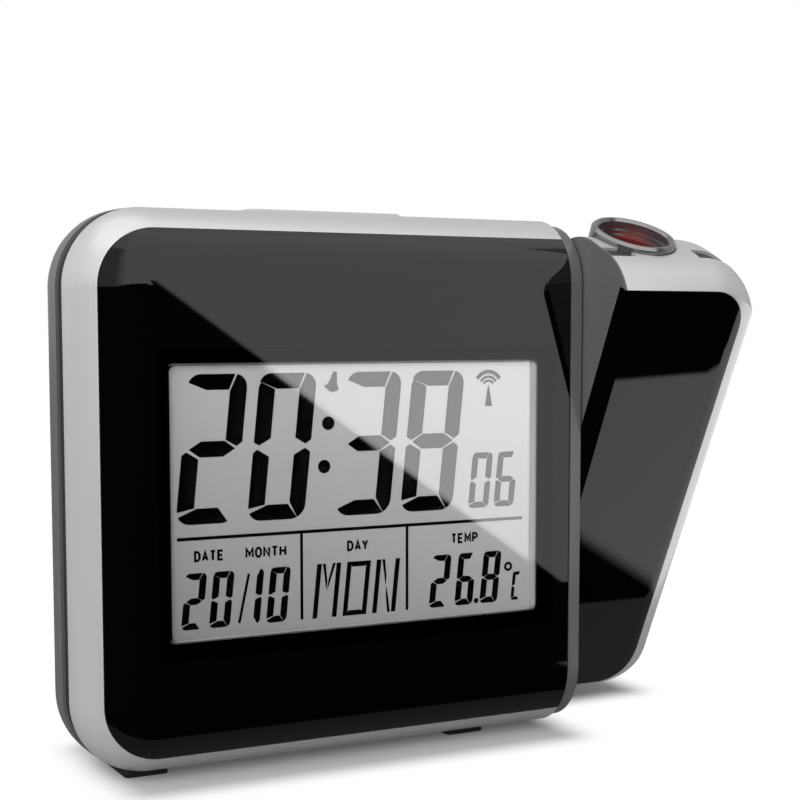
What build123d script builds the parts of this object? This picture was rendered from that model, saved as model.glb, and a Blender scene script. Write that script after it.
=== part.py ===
from build123d import *
import os
from math import asin, cos, radians, sin, sqrt

# Projection alarm clock: an upright clock body with a projector arm on a swivel at its right end.
# X runs across the clock, -Y is the front, Z is up.  The origin lies on the table, under the middle
# of the clock's whole width and depth.  All sizes are millimetres.

# ---- Driving dimensions: clock body ----
body_width = 99.05  # without the end plate
body_height = 102.65
body_depth = 30.0
middle_depth = 16.45  # body's front plane to the middle of the clock's whole depth, arm included
corner_radius = 14.5  # corners seen from the front
edge_radius = 13.0  # roll-over of the front edges
rear_radius = 11.5  # roll-over of the rear edges
wall = 2.0
border = 4.1  # silver frame, seen from the front
frame_depth = 11.4  # front plane to the rear edge of the silver frame
band_width = 3.8  # dark recessed band behind the frame
band_recess = 0.6
lip = 1.2  # lips of the middle frame inside the front frame and the rear housing
lap = 1.5
foot_height = 0.7
foot_width = 8.2
foot_length = 15.0
foot_front = 10.5  # front plane to the front end of a foot
left_foot_inset = 10.1  # from the left side of the body
right_foot_inset = 13.6  # from the right side of the body

# ---- Driving dimensions: front window and display ----
window_thickness = 2.0
window_gap = 0.15  # between window and frame
seat_depth = 5.2  # front plane to the ledge that carries the window
ledge_width = 1.5
ledge_thickness = 1.4
mask_thickness = 0.3
view_width = 75.5
view_height = 48.8
view_left = 15.6  # left side of the body to the clear area
view_bottom = 25.7  # underside of the body to the clear area
view_corner = 1.2
glass_margin = 1.6  # display glass beyond the clear area, each side
glass_thickness = 2.8
glass_gap = 0.5  # mask to display glass
frame_wall = 1.1
reflector_thickness = 3.2
strip_width = 2.2  # elastomer connector strips
board_thickness = 1.6
board_depth = 13.0  # front plane to the main board
board_margin = 9.0  # main board beyond the clear area, above and below
board_screw_radius = 1.0
screw_room = 4.0  # edge of the board to its screws

# ---- Driving dimensions: end plate and swivel ----
plate_thickness = 2.35
plate_drop = 1.05  # end plate lower than the frame, top and bottom
plate_proud = 0.3  # end plate in front of the window
plate_edge_radius = 12.0
plate_rim = 2.0  # rim of the plate inside the housing
arm_gap = 0.45
pivot_depth = 18.6  # body's front plane to the swivel axis
hub_radius = 7.0
hub_bore = 4.4
hub_flange_radius = 9.0
hub_flange_thickness = 1.5
boss_radius = 9.2
boss_length = 2.0
running_clearance = 0.05
washer_thickness = 0.6
washer_play = 0.1
ring_thickness = 0.8

# ---- Driving dimensions: projector arm ----
arm_width = 37.5
arm_length = 102.65
arm_depth = 30.0  # as if its front were rolled like the body's
arm_pivot_depth = 18.05  # that front plane to the swivel axis
arm_tilt = 25.0  # forward lean of the arm, degrees
panel_depth = 3.7  # front plane of the arm to its flat black panel
panel_thickness = 2.0
panel_side = 7.0  # right side of the arm to its panel
panel_end = 4.0  # top and bottom of the arm to its panel
panel_corner = 8.5
cap_flange = 0.4
cap_thickness = 2.4
lens_offset = 11.3  # inner face of the arm to the optical axis
lens_back = 2.56  # swivel axis to the optical axis, towards the rear
ring_radius = 8.7  # focus ring
ring_wall = 1.5
ring_edge = 0.5
ring_clearance = 0.2
ring_proud = 1.25  # rim above the arm's end
ring_seat = 12.3  # arm's end down to the floor that carries the ring
tab_width = 15.4  # tab that bridges the band in front of the ring
tab_offset = 14.0  # inner face of the arm to the middle of the tab
cell_clearance = 0.2
cell_length = 5.0
cell_recess = 3.6  # ring's rim down to the objective cell
focus_travel = 1.0
lens_thickness = 2.6
barrel_radius = 5.8
barrel_wall = 0.8
barrel_flange = 7.2
floor_thickness = 1.6
slide_thickness = 1.1
slide_width = 6.8
led_board_width = 14.4
led_board_height = 11.0

# ---- Driving dimensions: controls and power ----
snooze_length = 33.5
snooze_width = 10.0
snooze_rise = 0.45
snooze_offset = 2.4  # middle of the bar to the right of the body's middle
snooze_travel = 0.7
snooze_corner = 2.0
snooze_room = 7.0  # depth of the cut-out under the bar
key_width = 8.0
key_height = 4.4
key_pitch = 12.0
key_rise = 0.9
key_count = 5
key_travel = 0.5
key_drop = 17.5  # top of the body down to the row of keys
key_gap = 0.3
key_corner = 1.2
key_edge = 0.4
knob_width = 4.0
knob_height = 3.0
knob_travel = 3.0
knob_drop = 31.0  # top of the body down to the slide switches
knob_pitch = 34.0
cell_diameter = 10.5
cell_body = 43.5
contact_space = 3.4
door_thickness = 1.6
door_gap = 0.25
bay_bottom = 17.0  # underside of the body to the battery bay
bay_left = 20.0  # left side of the body to the battery bay
jack_radius = 4.0
jack_bore = 2.8
jack_length = 11.0
jack_height = 16.5  # underside of the body to the power inlet
jack_inset = 16.5  # right side of the body to the power inlet
buzzer_thickness = 3.0
rod_radius = 4.0  # antenna
rod_length = 54.0
coil_radius = 4.9
coil_length = 22.0

# ---- Planes and places that follow from them ----
overall_width = body_width + plate_thickness + arm_gap + arm_width
body_left = -overall_width / 2
body_right = body_left + body_width
plate_right = body_right + plate_thickness
arm_left = plate_right + arm_gap
arm_right = arm_left + arm_width
body_bottom = foot_height
body_top = body_bottom + body_height
pivot_height = body_bottom + body_height / 2
pivot_y = pivot_depth - middle_depth
body_mid = (body_left + body_right) / 2
lens_x = arm_left + lens_offset
tab_x = arm_left + tab_offset
snooze_x = body_mid + snooze_offset
snooze_y = frame_depth + 0.3 + snooze_width / 2 - middle_depth
arm_top = arm_length / 2

front_view = Plane.XZ
lean = radians(arm_tilt)
arm_view = Plane(
    origin=(0, pivot_y, pivot_height), x_dir=(1, 0, 0), z_dir=(0, -cos(lean), -sin(lean))
)
run_out = 40.0  # how far a form runs past the face that cuts it


def body_plane(depth):
    """Plane across the clock at a depth behind its front plane, facing forwards."""
    return front_view.offset(middle_depth - depth)


def arm_plane(depth):
    """Plane across the arm at a depth behind its full front plane, facing forwards."""
    return arm_view.offset(arm_pivot_depth - depth)


def arm_axis_plane(height):
    """Plane square to the optical axis, at a height along the arm from the swivel axis."""
    origin = arm_view.from_local_coords(Vector(lens_x, height, -lens_back))
    return Plane(origin=origin, x_dir=(1, 0, 0), z_dir=arm_view.y_dir)


def pillow(view, left, right, bottom, top, depth, inset):
    """Rounded slab seen from the front, with its front and rear edges rolled over."""
    width = right - left - 2 * inset
    height = top - bottom - 2 * inset
    with BuildPart() as form:
        with BuildSketch(view.offset(depth / 2 - inset)):
            with Locations(((left + right) / 2, (bottom + top) / 2)):
                RectangleRounded(width, height, corner_radius - inset)
        extrude(amount=-(depth - 2 * inset))
        across = Axis(view.origin, view.z_dir)
        fillet(form.faces().sort_by(across)[-1].edges(), edge_radius - inset)
        fillet(form.faces().sort_by(across)[0].edges(), rear_radius - inset)
    return form.part


def body_form(inset):
    """Outer form of the clock body, inset by a wall, running past its right end."""
    return pillow(body_plane(body_depth / 2), body_left, body_right + run_out, body_bottom, body_top,
                  body_depth, inset)


def arm_form(inset):
    """Outer form of the projector arm, inset by a wall, running past its inner end.

    Its front is cut flat and runs into the right side with a roll of its own."""
    front = panel_depth + inset
    roll = edge_radius - panel_depth
    turn = (arm_right - roll, edge_radius)
    reach = (roll - inset) * sqrt(0.5)
    across = Plane(origin=arm_plane(0).origin, x_dir=(1, 0, 0), z_dir=arm_view.y_dir)
    with BuildPart() as form:
        add(pillow(arm_plane(arm_depth / 2), arm_left - run_out, arm_right, -arm_top, arm_top,
                   arm_depth, inset))
        with BuildSketch(across):
            with BuildLine():
                Polyline(
                    (turn[0], front),
                    (arm_left - 2 * run_out, front),
                    (arm_left - 2 * run_out, -arm_depth),
                    (arm_right + run_out, -arm_depth),
                    (arm_right + run_out, turn[1]),
                    (arm_right - inset, turn[1]),
                )
                ThreePointArc(
                    (turn[0], front), (turn[0] + reach, turn[1] - reach), (arm_right - inset, turn[1])
                )
            make_face()
        extrude(amount=arm_length, both=True, mode=Mode.SUBTRACT)
    return form.part


body_skin = body_form(0)
body_core = body_form(wall)
window_core = body_form(window_thickness)
mask_core = body_form(window_thickness + mask_thickness)
band_skin = body_form(band_recess)
arm_skin = arm_form(0)
arm_core = arm_form(wall)
arm_band_skin = arm_form(band_recess)
lip_core = body_form(wall + lip)
arm_lip_core = arm_form(wall + lip)

body_end = Plane.YZ.offset(body_right)
arm_end = Plane.YZ.offset(arm_left)
arm_inside = Plane.YZ.offset(arm_left + cap_flange)


def opening_outline(left, right, bottom, top, inset):
    """Rounded rectangle inset from the body's or arm's outline, drawn in the current sketch."""
    with Locations(((left + right) / 2, (bottom + top) / 2)):
        RectangleRounded(right - left - 2 * inset, top - bottom - 2 * inset, corner_radius - inset)


def body_outline(inset):
    """The body's outline, running past its right end."""
    opening_outline(body_left, body_right + run_out, body_bottom, body_top, inset)


def arm_outline(inset):
    """The arm's outline, running past its inner end."""
    opening_outline(arm_left - run_out, arm_right, -arm_top, arm_top, inset)


def panel_outline(inset, mode=Mode.ADD):
    """Outline of the opening for the arm's panel, running past the arm's inner end."""
    width = arm_width + run_out - panel_side - inset
    with Locations((arm_left - run_out + width / 2, 0)):
        RectangleRounded(width, arm_length - 2 * (panel_end + inset), panel_corner - inset, mode=mode)


os.makedirs("parts", exist_ok=True)


def finish(solid, name):
    """Label a finished piece and write it."""
    solid.label = name
    export_step(solid, f"parts/{name}.step")


# ---- Silver front frame: rolled shell with a ledge that carries the window ----
with BuildPart() as ledge:
    with BuildSketch(body_plane(seat_depth)):
        body_outline(1.0)
        body_outline_inner = border + ledge_width
        with Locations(((body_left + body_right + run_out) / 2, (body_bottom + body_top) / 2)):
            RectangleRounded(
                body_width + run_out - 2 * body_outline_inner,
                body_height - 2 * body_outline_inner,
                corner_radius - body_outline_inner,
                mode=Mode.SUBTRACT,
            )
    extrude(amount=-ledge_thickness)
    add(body_skin, mode=Mode.INTERSECT)

with BuildPart() as front_bezel:
    add(body_skin)
    split(bisect_by=body_plane(frame_depth), keep=Keep.TOP)
    add(body_core, mode=Mode.SUBTRACT)
    with BuildSketch(body_plane(-1)):
        body_outline(border)
    extrude(amount=-(frame_depth + 1), mode=Mode.SUBTRACT)
    add(ledge.part)
    split(bisect_by=body_end, keep=Keep.BOTTOM)
finish(front_bezel.part, "front_bezel")

# ---- Front window: pillowed clear panel that continues the roll of the frame ----
with BuildPart() as front_window:
    with BuildSketch(body_plane(-1)):
        body_outline(border + window_gap)
    extrude(amount=-(seat_depth + 1))
    add(body_skin, mode=Mode.INTERSECT)
    add(window_core, mode=Mode.SUBTRACT)
    split(bisect_by=body_end, keep=Keep.BOTTOM)
finish(front_window.part, "front_window")

view_x = body_left + view_left + view_width / 2
view_z = body_bottom + view_bottom + view_height / 2

# ---- Printed mask behind the window, with the clear display area left out ----
with BuildPart() as window_mask:
    with BuildSketch(body_plane(0)):
        body_outline(border + ledge_width)
    extrude(amount=-seat_depth)
    add(window_core, mode=Mode.INTERSECT)
    add(mask_core, mode=Mode.SUBTRACT)
    with BuildSketch(body_plane(0)):
        with Locations((view_x, view_z)):
            RectangleRounded(view_width, view_height, view_corner)
    extrude(amount=-seat_depth, mode=Mode.SUBTRACT)
    split(bisect_by=body_end, keep=Keep.BOTTOM)
finish(window_mask.part, "window_mask")

# ---- Display stack: glass, reflector with backlight, frame, connector strips ----
mask_back = window_thickness + mask_thickness
glass_front = mask_back + glass_gap
glass_back = glass_front + glass_thickness
reflector_back = glass_back + reflector_thickness
glass_width = view_width + 2 * glass_margin
glass_height = view_height + 2 * glass_margin
board_width = glass_width + 2 * frame_wall
board_height = view_height + 2 * board_margin
strip_room = strip_width + 0.8

with BuildPart() as lcd_glass:
    with BuildSketch(body_plane(glass_front)):
        with Locations((view_x, view_z)):
            Rectangle(glass_width, glass_height)
    extrude(amount=-glass_thickness)
finish(lcd_glass.part, "lcd_glass")

with BuildPart() as lcd_reflector:
    with BuildSketch(body_plane(glass_back)):
        with Locations((view_x, view_z)):
            Rectangle(glass_width, glass_height - 2 * strip_room)
    extrude(amount=-reflector_thickness)
finish(lcd_reflector.part, "lcd_reflector")

with BuildPart() as lcd_frame:
    with BuildSketch(body_plane(mask_back)):
        with Locations((view_x, view_z)):
            Rectangle(glass_width + 2 * frame_wall, glass_height + 2 * frame_wall)
    extrude(amount=-(board_depth - mask_back))
    with BuildSketch(body_plane(mask_back)):
        with Locations((view_x, view_z)):
            Rectangle(view_width + 0.8, view_height + 0.8)
    extrude(amount=-glass_gap, mode=Mode.SUBTRACT)
    with BuildSketch(body_plane(glass_front)):
        with Locations((view_x, view_z)):
            Rectangle(glass_width, glass_height)
    extrude(amount=-(board_depth - glass_front), mode=Mode.SUBTRACT)
    front_rim = lcd_frame.faces().sort_by(Axis.Y)[0].outer_wire().edges()
    chamfer(front_rim, glass_gap * 0.8)
    # cross ribs between reflector and board, and posts for the board's screws
    with BuildSketch(body_plane(reflector_back)):
        with Locations((view_x, view_z)):
            with GridLocations(1, glass_height / 3, 1, 2):
                Rectangle(glass_width, 1.2)
    extrude(amount=-(board_depth - reflector_back))
    with BuildSketch(body_plane(glass_back)):
        with Locations((view_x, view_z)):
            with GridLocations(board_width - 2 * screw_room, board_height - 2 * screw_room, 2, 2):
                Circle(2.6)
                Circle(board_screw_radius, mode=Mode.SUBTRACT)
    extrude(amount=-(board_depth - glass_back))
finish(lcd_frame.part, "lcd_frame")

with BuildPart() as connector_strips:
    with BuildSketch(body_plane(glass_back)):
        with Locations((view_x, view_z)):
            with GridLocations(1, glass_height - strip_width - 0.4, 1, 2):
                Rectangle(glass_width - 6.0, strip_width)
    extrude(amount=-(board_depth - glass_back))
finish(connector_strips.part, "connector_strips")

# ---- Main board, its controller and its screws ----
board_back = board_depth + board_thickness
board_top = view_z + board_height / 2
with BuildPart() as main_board:
    with BuildSketch(body_plane(board_depth)):
        with Locations((view_x, view_z)):
            Rectangle(board_width, board_height)
            with GridLocations(board_width - 2 * screw_room, board_height - 2 * screw_room, 2, 2):
                Circle(board_screw_radius, mode=Mode.SUBTRACT)
    extrude(amount=-board_thickness)
finish(main_board.part, "main_board")

with BuildPart() as board_screws:
    with BuildSketch(body_plane(board_back)):
        with Locations((view_x, view_z)):
            with GridLocations(board_width - 2 * screw_room, board_height - 2 * screw_room, 2, 2):
                Circle(2 * board_screw_radius)
    extrude(amount=-1.2)
    with BuildSketch(body_plane(board_back)):
        with Locations((view_x, view_z)):
            with GridLocations(board_width - 2 * screw_room, board_height - 2 * screw_room, 2, 2):
                Circle(board_screw_radius)
    extrude(amount=board_thickness + 4.0)
finish(board_screws.part, "board_screws")

with BuildPart() as controller_chip:
    with BuildSketch(body_plane(board_back)):
        with Locations((view_x - 12.0, view_z + 8.0)):
            RectangleRounded(14.0, 14.0, 3.0)
    extrude(amount=-1.4)
    chamfer(controller_chip.faces().sort_by(Axis.Y)[-1].edges(), 0.9)
finish(controller_chip.part, "controller_chip")

lead_socket_x = body_right - 12.0
with BuildPart() as lead_socket:
    with BuildSketch(body_plane(board_back)):
        with Locations((lead_socket_x, pivot_height)):
            Rectangle(5.0, 8.0)
    extrude(amount=-(pivot_depth - board_back + 1.4))
finish(lead_socket.part, "lead_socket")


# ---- Middle frames: recessed bands that join the front frames to the rear housings ----
post_radius = 2.9
rib_thickness = 1.6
screw_radius = 1.2
screw_head_radius = 2.5
joint_depth = 17.5  # where the posts of the middle frame meet the bosses of the housing
head_depth = 20.0
band_back = frame_depth + band_width


def post_places(left, right, bottom, top, left_inset, right_inset, end_inset):
    """Places of the housing screws, on the front view of the body or arm."""
    columns = [left + left_inset, right - right_inset]
    return [(x, z) for x in columns for z in (bottom + end_inset, top - end_inset)]


body_posts = post_places(body_left, body_right, body_bottom, body_top, 10.6, 6.5, 10.6)

with BuildPart() as body_lips:
    add(body_core)
    add(lip_core, mode=Mode.SUBTRACT)
    split(bisect_by=body_plane(frame_depth - lap), keep=Keep.BOTTOM)
    split(bisect_by=body_plane(band_back + lap), keep=Keep.TOP)
    split(bisect_by=Plane.YZ.offset(body_right - plate_rim), keep=Keep.BOTTOM)
    # screw posts, each on a rib that runs to the wall above or below it
    with BuildSketch(body_plane(frame_depth)):
        for x, z in body_posts:
            rib_end = body_bottom if z < pivot_height else body_top
            with Locations((x, z)):
                Circle(post_radius)
            with Locations((x, (z + rib_end) / 2)):
                Rectangle(rib_thickness, abs(z - rib_end))
    extrude(amount=-(joint_depth - frame_depth))
    add(body_core, mode=Mode.INTERSECT)

with BuildPart() as mid_frame:
    add(band_skin)
    add(body_core, mode=Mode.SUBTRACT)
    split(bisect_by=body_plane(frame_depth), keep=Keep.BOTTOM)
    split(bisect_by=body_plane(band_back), keep=Keep.TOP)
    split(bisect_by=body_end, keep=Keep.BOTTOM)
    add(body_lips.part)
    with BuildSketch(body_plane(frame_depth)):
        with Locations(*body_posts):
            Circle(screw_radius)
    extrude(amount=-(joint_depth - frame_depth), mode=Mode.SUBTRACT)
    # cut-out for the snooze bar
    with BuildSketch(Plane.XY.offset(body_top + 1)):
        with Locations((snooze_x, snooze_y)):
            RectangleRounded(snooze_length + 2 * key_gap, snooze_width + 2 * key_gap, snooze_corner + key_gap)
    extrude(amount=-(snooze_room + 1), mode=Mode.SUBTRACT)
finish(mid_frame.part, "mid_frame")

# ---- Battery bay, measured on the rear face ----
bay_length = cell_body + 2 * contact_space
bay_height = 2 * cell_diameter + 1.4
bay_wall = 1.2
bay_x = body_left + bay_left + bay_length / 2
bay_z = body_bottom + bay_bottom + bay_height / 2
door_margin = 2.2
door_length = bay_length + 2 * door_margin
door_height = bay_height + 2 * door_margin
door_back = body_depth
door_front = body_depth - door_thickness
cell_axis_depth = door_front - 0.5 - cell_diameter / 2
bay_floor = cell_axis_depth - cell_diameter / 2

keys_x = (body_left + edge_radius + body_right) / 2
keys_z = body_top - key_drop
knobs_z = body_top - knob_drop
inside_back = body_depth - wall
key_board_back = inside_back - 5.8
key_board_front = key_board_back - 1.6
key_board_width = 64.0
key_board_height = 24.0
key_board_z = (keys_z + knobs_z) / 2
key_post = 29.0
jack_x = body_right - jack_inset
jack_z = body_bottom + jack_height
buzzer_radius = 9.0
buzzer_x = body_right - 14.5
buzzer_z = jack_z + 18.5
rod_x = body_left + 8.2
rod_z = pivot_height
rod_depth = 20.0

# ---- Rear housing of the body ----
with BuildPart() as rear_housing:
    add(body_skin)
    split(bisect_by=body_plane(band_back), keep=Keep.BOTTOM)
    add(body_core, mode=Mode.SUBTRACT)
    split(bisect_by=body_end, keep=Keep.BOTTOM)
    # bosses that carry the screws, and posts of the key board
    with BuildSketch(body_plane(joint_depth)):
        with Locations(*body_posts):
            Circle(post_radius + 0.6)
    extrude(amount=-(inside_back + 0.5 - joint_depth))
    with BuildSketch(body_plane(key_board_back)):
        with Locations((keys_x - key_post, key_board_z), (keys_x + key_post, key_board_z)):
            Circle(2.4)
    extrude(amount=-(inside_back - key_board_back))
    # walls and floor of the battery bay, and a thick rim under the door
    with BuildSketch(body_plane(bay_floor - bay_wall)):
        with Locations((bay_x, bay_z)):
            Rectangle(bay_length + 2 * bay_wall, bay_height + 2 * bay_wall)
    extrude(amount=-(body_depth - bay_floor + bay_wall - 0.5))
    with BuildSketch(body_plane(door_front - 1.6)):
        with Locations((bay_x, bay_z)):
            Rectangle(door_length + 2.4, door_height + 2.4)
    extrude(amount=-(body_depth - door_front + 1.6 - 0.5))
    # saddles of the antenna rod
    with BuildSketch(body_plane(rod_depth)):
        with Locations((rod_x, rod_z)):
            with GridLocations(1, rod_length - 8.0, 1, 2):
                Rectangle(2 * rod_radius + 2.4, 3.0)
    extrude(amount=-(inside_back - rod_depth + 0.5))
    # collar that holds the buzzer
    with BuildSketch(body_plane(inside_back - buzzer_thickness)):
        with Locations((buzzer_x, buzzer_z)):
            Circle(buzzer_radius + 1.2)
    extrude(amount=-buzzer_thickness)
    add(body_skin, mode=Mode.INTERSECT)
    # what is cut out of them
    with BuildSketch(body_plane(bay_floor)):
        with Locations((bay_x, bay_z)):
            Rectangle(bay_length, bay_height)
    extrude(amount=-(body_depth + 1 - bay_floor), mode=Mode.SUBTRACT)
    with BuildSketch(body_plane(door_front)):
        with Locations((bay_x, bay_z)):
            RectangleRounded(door_length + 2 * door_gap, door_height + 2 * door_gap, 2.0 + door_gap)
    extrude(amount=-(door_thickness + 1), mode=Mode.SUBTRACT)
    with BuildSketch(body_plane(0)):
        with Locations(*body_posts):
            Circle(screw_radius)
    extrude(amount=-body_depth, mode=Mode.SUBTRACT)
    with BuildSketch(body_plane(head_depth)):
        with Locations(*body_posts):
            Circle(screw_head_radius + 0.3)
    extrude(amount=-(body_depth + 1 - head_depth), mode=Mode.SUBTRACT)
    with BuildSketch(Plane.XY.offset(rod_z - rod_length / 2)):
        with Locations((rod_x, rod_depth - middle_depth)):
            Circle(rod_radius)
    extrude(amount=rod_length, mode=Mode.SUBTRACT)
    with BuildSketch(body_plane(0)):
        with Locations((buzzer_x, buzzer_z)):
            Circle(buzzer_radius)
    extrude(amount=-inside_back, mode=Mode.SUBTRACT)
    with BuildSketch(body_plane(inside_back - 1)):
        with Locations((keys_x, keys_z)):
            with GridLocations(key_pitch, 1, key_count, 1):
                RectangleRounded(key_width + 2 * key_gap, key_height + 2 * key_gap, key_corner + key_gap)
        with Locations((keys_x + knob_travel / 2, knobs_z)):
            with GridLocations(knob_pitch, 1, 2, 1):
                RectangleRounded(knob_width + knob_travel + 2 * key_gap, knob_height + 2 * key_gap, 0.8)
        with Locations((jack_x, jack_z)):
            Circle(jack_radius)
        with Locations((buzzer_x, buzzer_z)):
            Circle(0.8)
            with PolarLocations(3.2, 6):
                Circle(0.8)
    extrude(amount=-(wall + 2), mode=Mode.SUBTRACT)
    with BuildSketch(Plane.XY.offset(body_top + 1)):
        with Locations((snooze_x, snooze_y)):
            RectangleRounded(snooze_length + 2 * key_gap, snooze_width + 2 * key_gap, snooze_corner + key_gap)
    extrude(amount=-(snooze_room + 1), mode=Mode.SUBTRACT)
finish(rear_housing.part, "rear_housing")

# ---- End plate between body and arm, with the bearing for the arm's hub ----
plate_y = body_depth / 2 - middle_depth - plate_proud
plate_height = body_height - 2 * plate_drop
with BuildPart() as plate_rim_ring:
    add(body_core)
    add(lip_core, mode=Mode.SUBTRACT)
    split(bisect_by=Plane.YZ.offset(body_right - plate_rim), keep=Keep.TOP)
    split(bisect_by=body_end, keep=Keep.BOTTOM)
    split(bisect_by=body_plane(seat_depth + ledge_thickness + 0.4), keep=Keep.BOTTOM)

with BuildPart() as end_plate:
    with BuildSketch(body_end):
        with Locations((plate_y, pivot_height)):
            RectangleRounded(body_depth, plate_height, plate_edge_radius)
    extrude(amount=plate_thickness)
    add(plate_rim_ring.part)
    with BuildSketch(body_end):
        with Locations((pivot_y, pivot_height)):
            Circle(boss_radius)
    extrude(amount=-boss_length)
    with BuildSketch(body_end):
        with Locations((pivot_y, pivot_height)):
            Circle(hub_radius + running_clearance)
    extrude(amount=plate_thickness, both=True, mode=Mode.SUBTRACT)
finish(end_plate.part, "end_plate")

# ---- Housing screws of the body ----
with BuildPart() as housing_screws:
    with BuildSketch(body_plane(head_depth)):
        with Locations(*body_posts):
            Circle(screw_head_radius)
    extrude(amount=-1.8)
    with BuildSketch(body_plane(head_depth)):
        with Locations(*body_posts):
            Circle(screw_radius)
    extrude(amount=head_depth - frame_depth - 1.0)
finish(housing_screws.part, "housing_screws")

# ---- Feet: two rubber rails that fit the rolled underside ----
foot_y = foot_front + foot_length / 2 - middle_depth
left_foot_x = body_left + left_foot_inset + foot_width / 2
right_foot_x = body_right - right_foot_inset - foot_width / 2
with BuildPart() as feet:
    with BuildSketch(Plane.XY):
        with Locations((left_foot_x, foot_y), (right_foot_x, foot_y)):
            RectangleRounded(foot_width, foot_length, 0.8)
    extrude(amount=body_bottom + edge_radius / 2)
    add(body_skin, mode=Mode.SUBTRACT)
finish(feet.part, "feet")

# ---- Snooze bar with its stem and switch ----
snooze_top = body_top + snooze_rise
flange_top = body_top - wall - 2.2
stem_y = board_back + 2.0 - middle_depth
switch_top = board_top - 1.0
with BuildPart() as snooze_bar:
    with BuildSketch(Plane.XY.offset(flange_top)):
        with Locations((snooze_x, snooze_y)):
            RectangleRounded(snooze_length, snooze_width, snooze_corner)
    extrude(amount=snooze_top - flange_top)
    chamfer(snooze_bar.faces().sort_by(Axis.Z)[-1].edges(), 0.8, 1.3)
    with BuildSketch(Plane.XY.offset(flange_top)):
        with Locations((snooze_x, snooze_y)):
            RectangleRounded(snooze_length + 2.4, snooze_width + 1.6, snooze_corner)
    extrude(amount=-1.0)
    with BuildSketch(Plane.XY.offset(switch_top + 0.3 + snooze_travel)):
        with Locations((snooze_x, stem_y)):
            Rectangle(3.0, 3.0)
    extrude(amount=flange_top - switch_top - 0.3 - snooze_travel)
finish(snooze_bar.part, "snooze_bar")

with BuildPart() as snooze_switch:
    with BuildSketch(body_plane(board_back)):
        with Locations((snooze_x, switch_top - 1.0 - 3.0)):
            Rectangle(6.0, 6.0)
    extrude(amount=-4.0)
    with BuildSketch(Plane.XY.offset(switch_top - 1.0)):
        with Locations((snooze_x, stem_y)):
            Circle(1.3)
    extrude(amount=1.0)
finish(snooze_switch.part, "snooze_switch")

# ---- Rear keys with their board and switches ----
key_places = [(keys_x + key_pitch * (i - (key_count - 1) / 2), keys_z) for i in range(key_count)]
key_names = ["mode_key", "set_key", "up_key", "down_key", "light_key"]
knob_places = [(keys_x + side * knob_pitch / 2, knobs_z) for side in (-1, 1)]
knob_names = ["alarm_knob", "projection_knob"]

with BuildPart() as key_board:
    with BuildSketch(body_plane(key_board_front)):
        with Locations((keys_x, key_board_z)):
            Rectangle(key_board_width, key_board_height)
    extrude(amount=-(key_board_back - key_board_front))
finish(key_board.part, "key_board")

with BuildPart() as key_switches:
    with BuildSketch(body_plane(key_board_back)):
        with Locations(*key_places):
            Rectangle(6.0, 6.0)
    extrude(amount=-3.2)
    with BuildSketch(body_plane(key_board_back + 3.2)):
        with Locations(*key_places):
            Circle(1.6)
    extrude(amount=-0.5)
finish(key_switches.part, "key_switches")

slide_height_over_board = 4.0
with BuildPart() as slide_switches:
    with BuildSketch(body_plane(key_board_back)):
        with Locations(*knob_places):
            Rectangle(9.0, 4.4)
    extrude(amount=-slide_height_over_board)
finish(slide_switches.part, "slide_switches")

flange_back = inside_back - 0.1
for place, name in zip(key_places, key_names):
    with BuildPart() as key:
        with BuildSketch(body_plane(flange_back - 1.0)):
            with Locations(place):
                RectangleRounded(key_width + 1.6, key_height + 1.6, key_corner)
        extrude(amount=-1.0)
        with BuildSketch(body_plane(flange_back)):
            with Locations(place):
                RectangleRounded(key_width, key_height, key_corner)
        extrude(amount=-(body_depth + key_rise - flange_back))
        chamfer(key.faces().sort_by(Axis.Y)[-1].edges(), key_edge)
    finish(key.part, name)

for place, name in zip(knob_places, knob_names):
    with BuildPart() as knob:
        with BuildSketch(body_plane(key_board_back + slide_height_over_board + 0.1)):
            with Locations(place):
                Rectangle(1.6, 1.6)
        extrude(amount=-(flange_back - 1.0 - key_board_back - slide_height_over_board - 0.1))
        with BuildSketch(body_plane(flange_back - 1.0)):
            with Locations(place):
                Rectangle(knob_width + 3.0, knob_height + 2.0)
        extrude(amount=-1.0)
        with BuildSketch(body_plane(flange_back)):
            with Locations(place):
                Rectangle(knob_width, knob_height)
        extrude(amount=-(body_depth + key_rise - flange_back))
        chamfer(knob.faces().sort_by(Axis.Y)[-1].edges().filter_by(Axis.Z), 0.4)
    finish(knob.part, name)

# ---- Battery cells, their contacts and the door ----
contact_thickness = 0.4
nub_length = 1.0
cell_z = [bay_z - cell_diameter / 2 - 0.2, bay_z + cell_diameter / 2 + 0.2]
bay_start = bay_x - bay_length / 2
bay_end = bay_x + bay_length / 2
cell_y = cell_axis_depth - middle_depth
# each cell: where its positive end points, and its height
cells = [(1, cell_z[0]), (-1, cell_z[1])]


def bay_plane(x, direction):
    """Plane square to the cells, facing along X in a direction."""
    return Plane(origin=(x, 0, 0), x_dir=(0, direction, 0), z_dir=(direction, 0, 0))


with BuildPart() as battery_cells:
    for direction, z in cells:
        plus = bay_x + direction * (bay_length / 2 - contact_thickness)
        with BuildSketch(bay_plane(plus, -direction)):
            with Locations((-direction * cell_y, z)):
                Circle(1.9)
        extrude(amount=nub_length)
        with BuildSketch(bay_plane(plus - direction * nub_length, -direction)):
            with Locations((-direction * cell_y, z)):
                Circle(cell_diameter / 2)
        extrude(amount=cell_body)
finish(battery_cells.part, "battery_cells")

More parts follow.
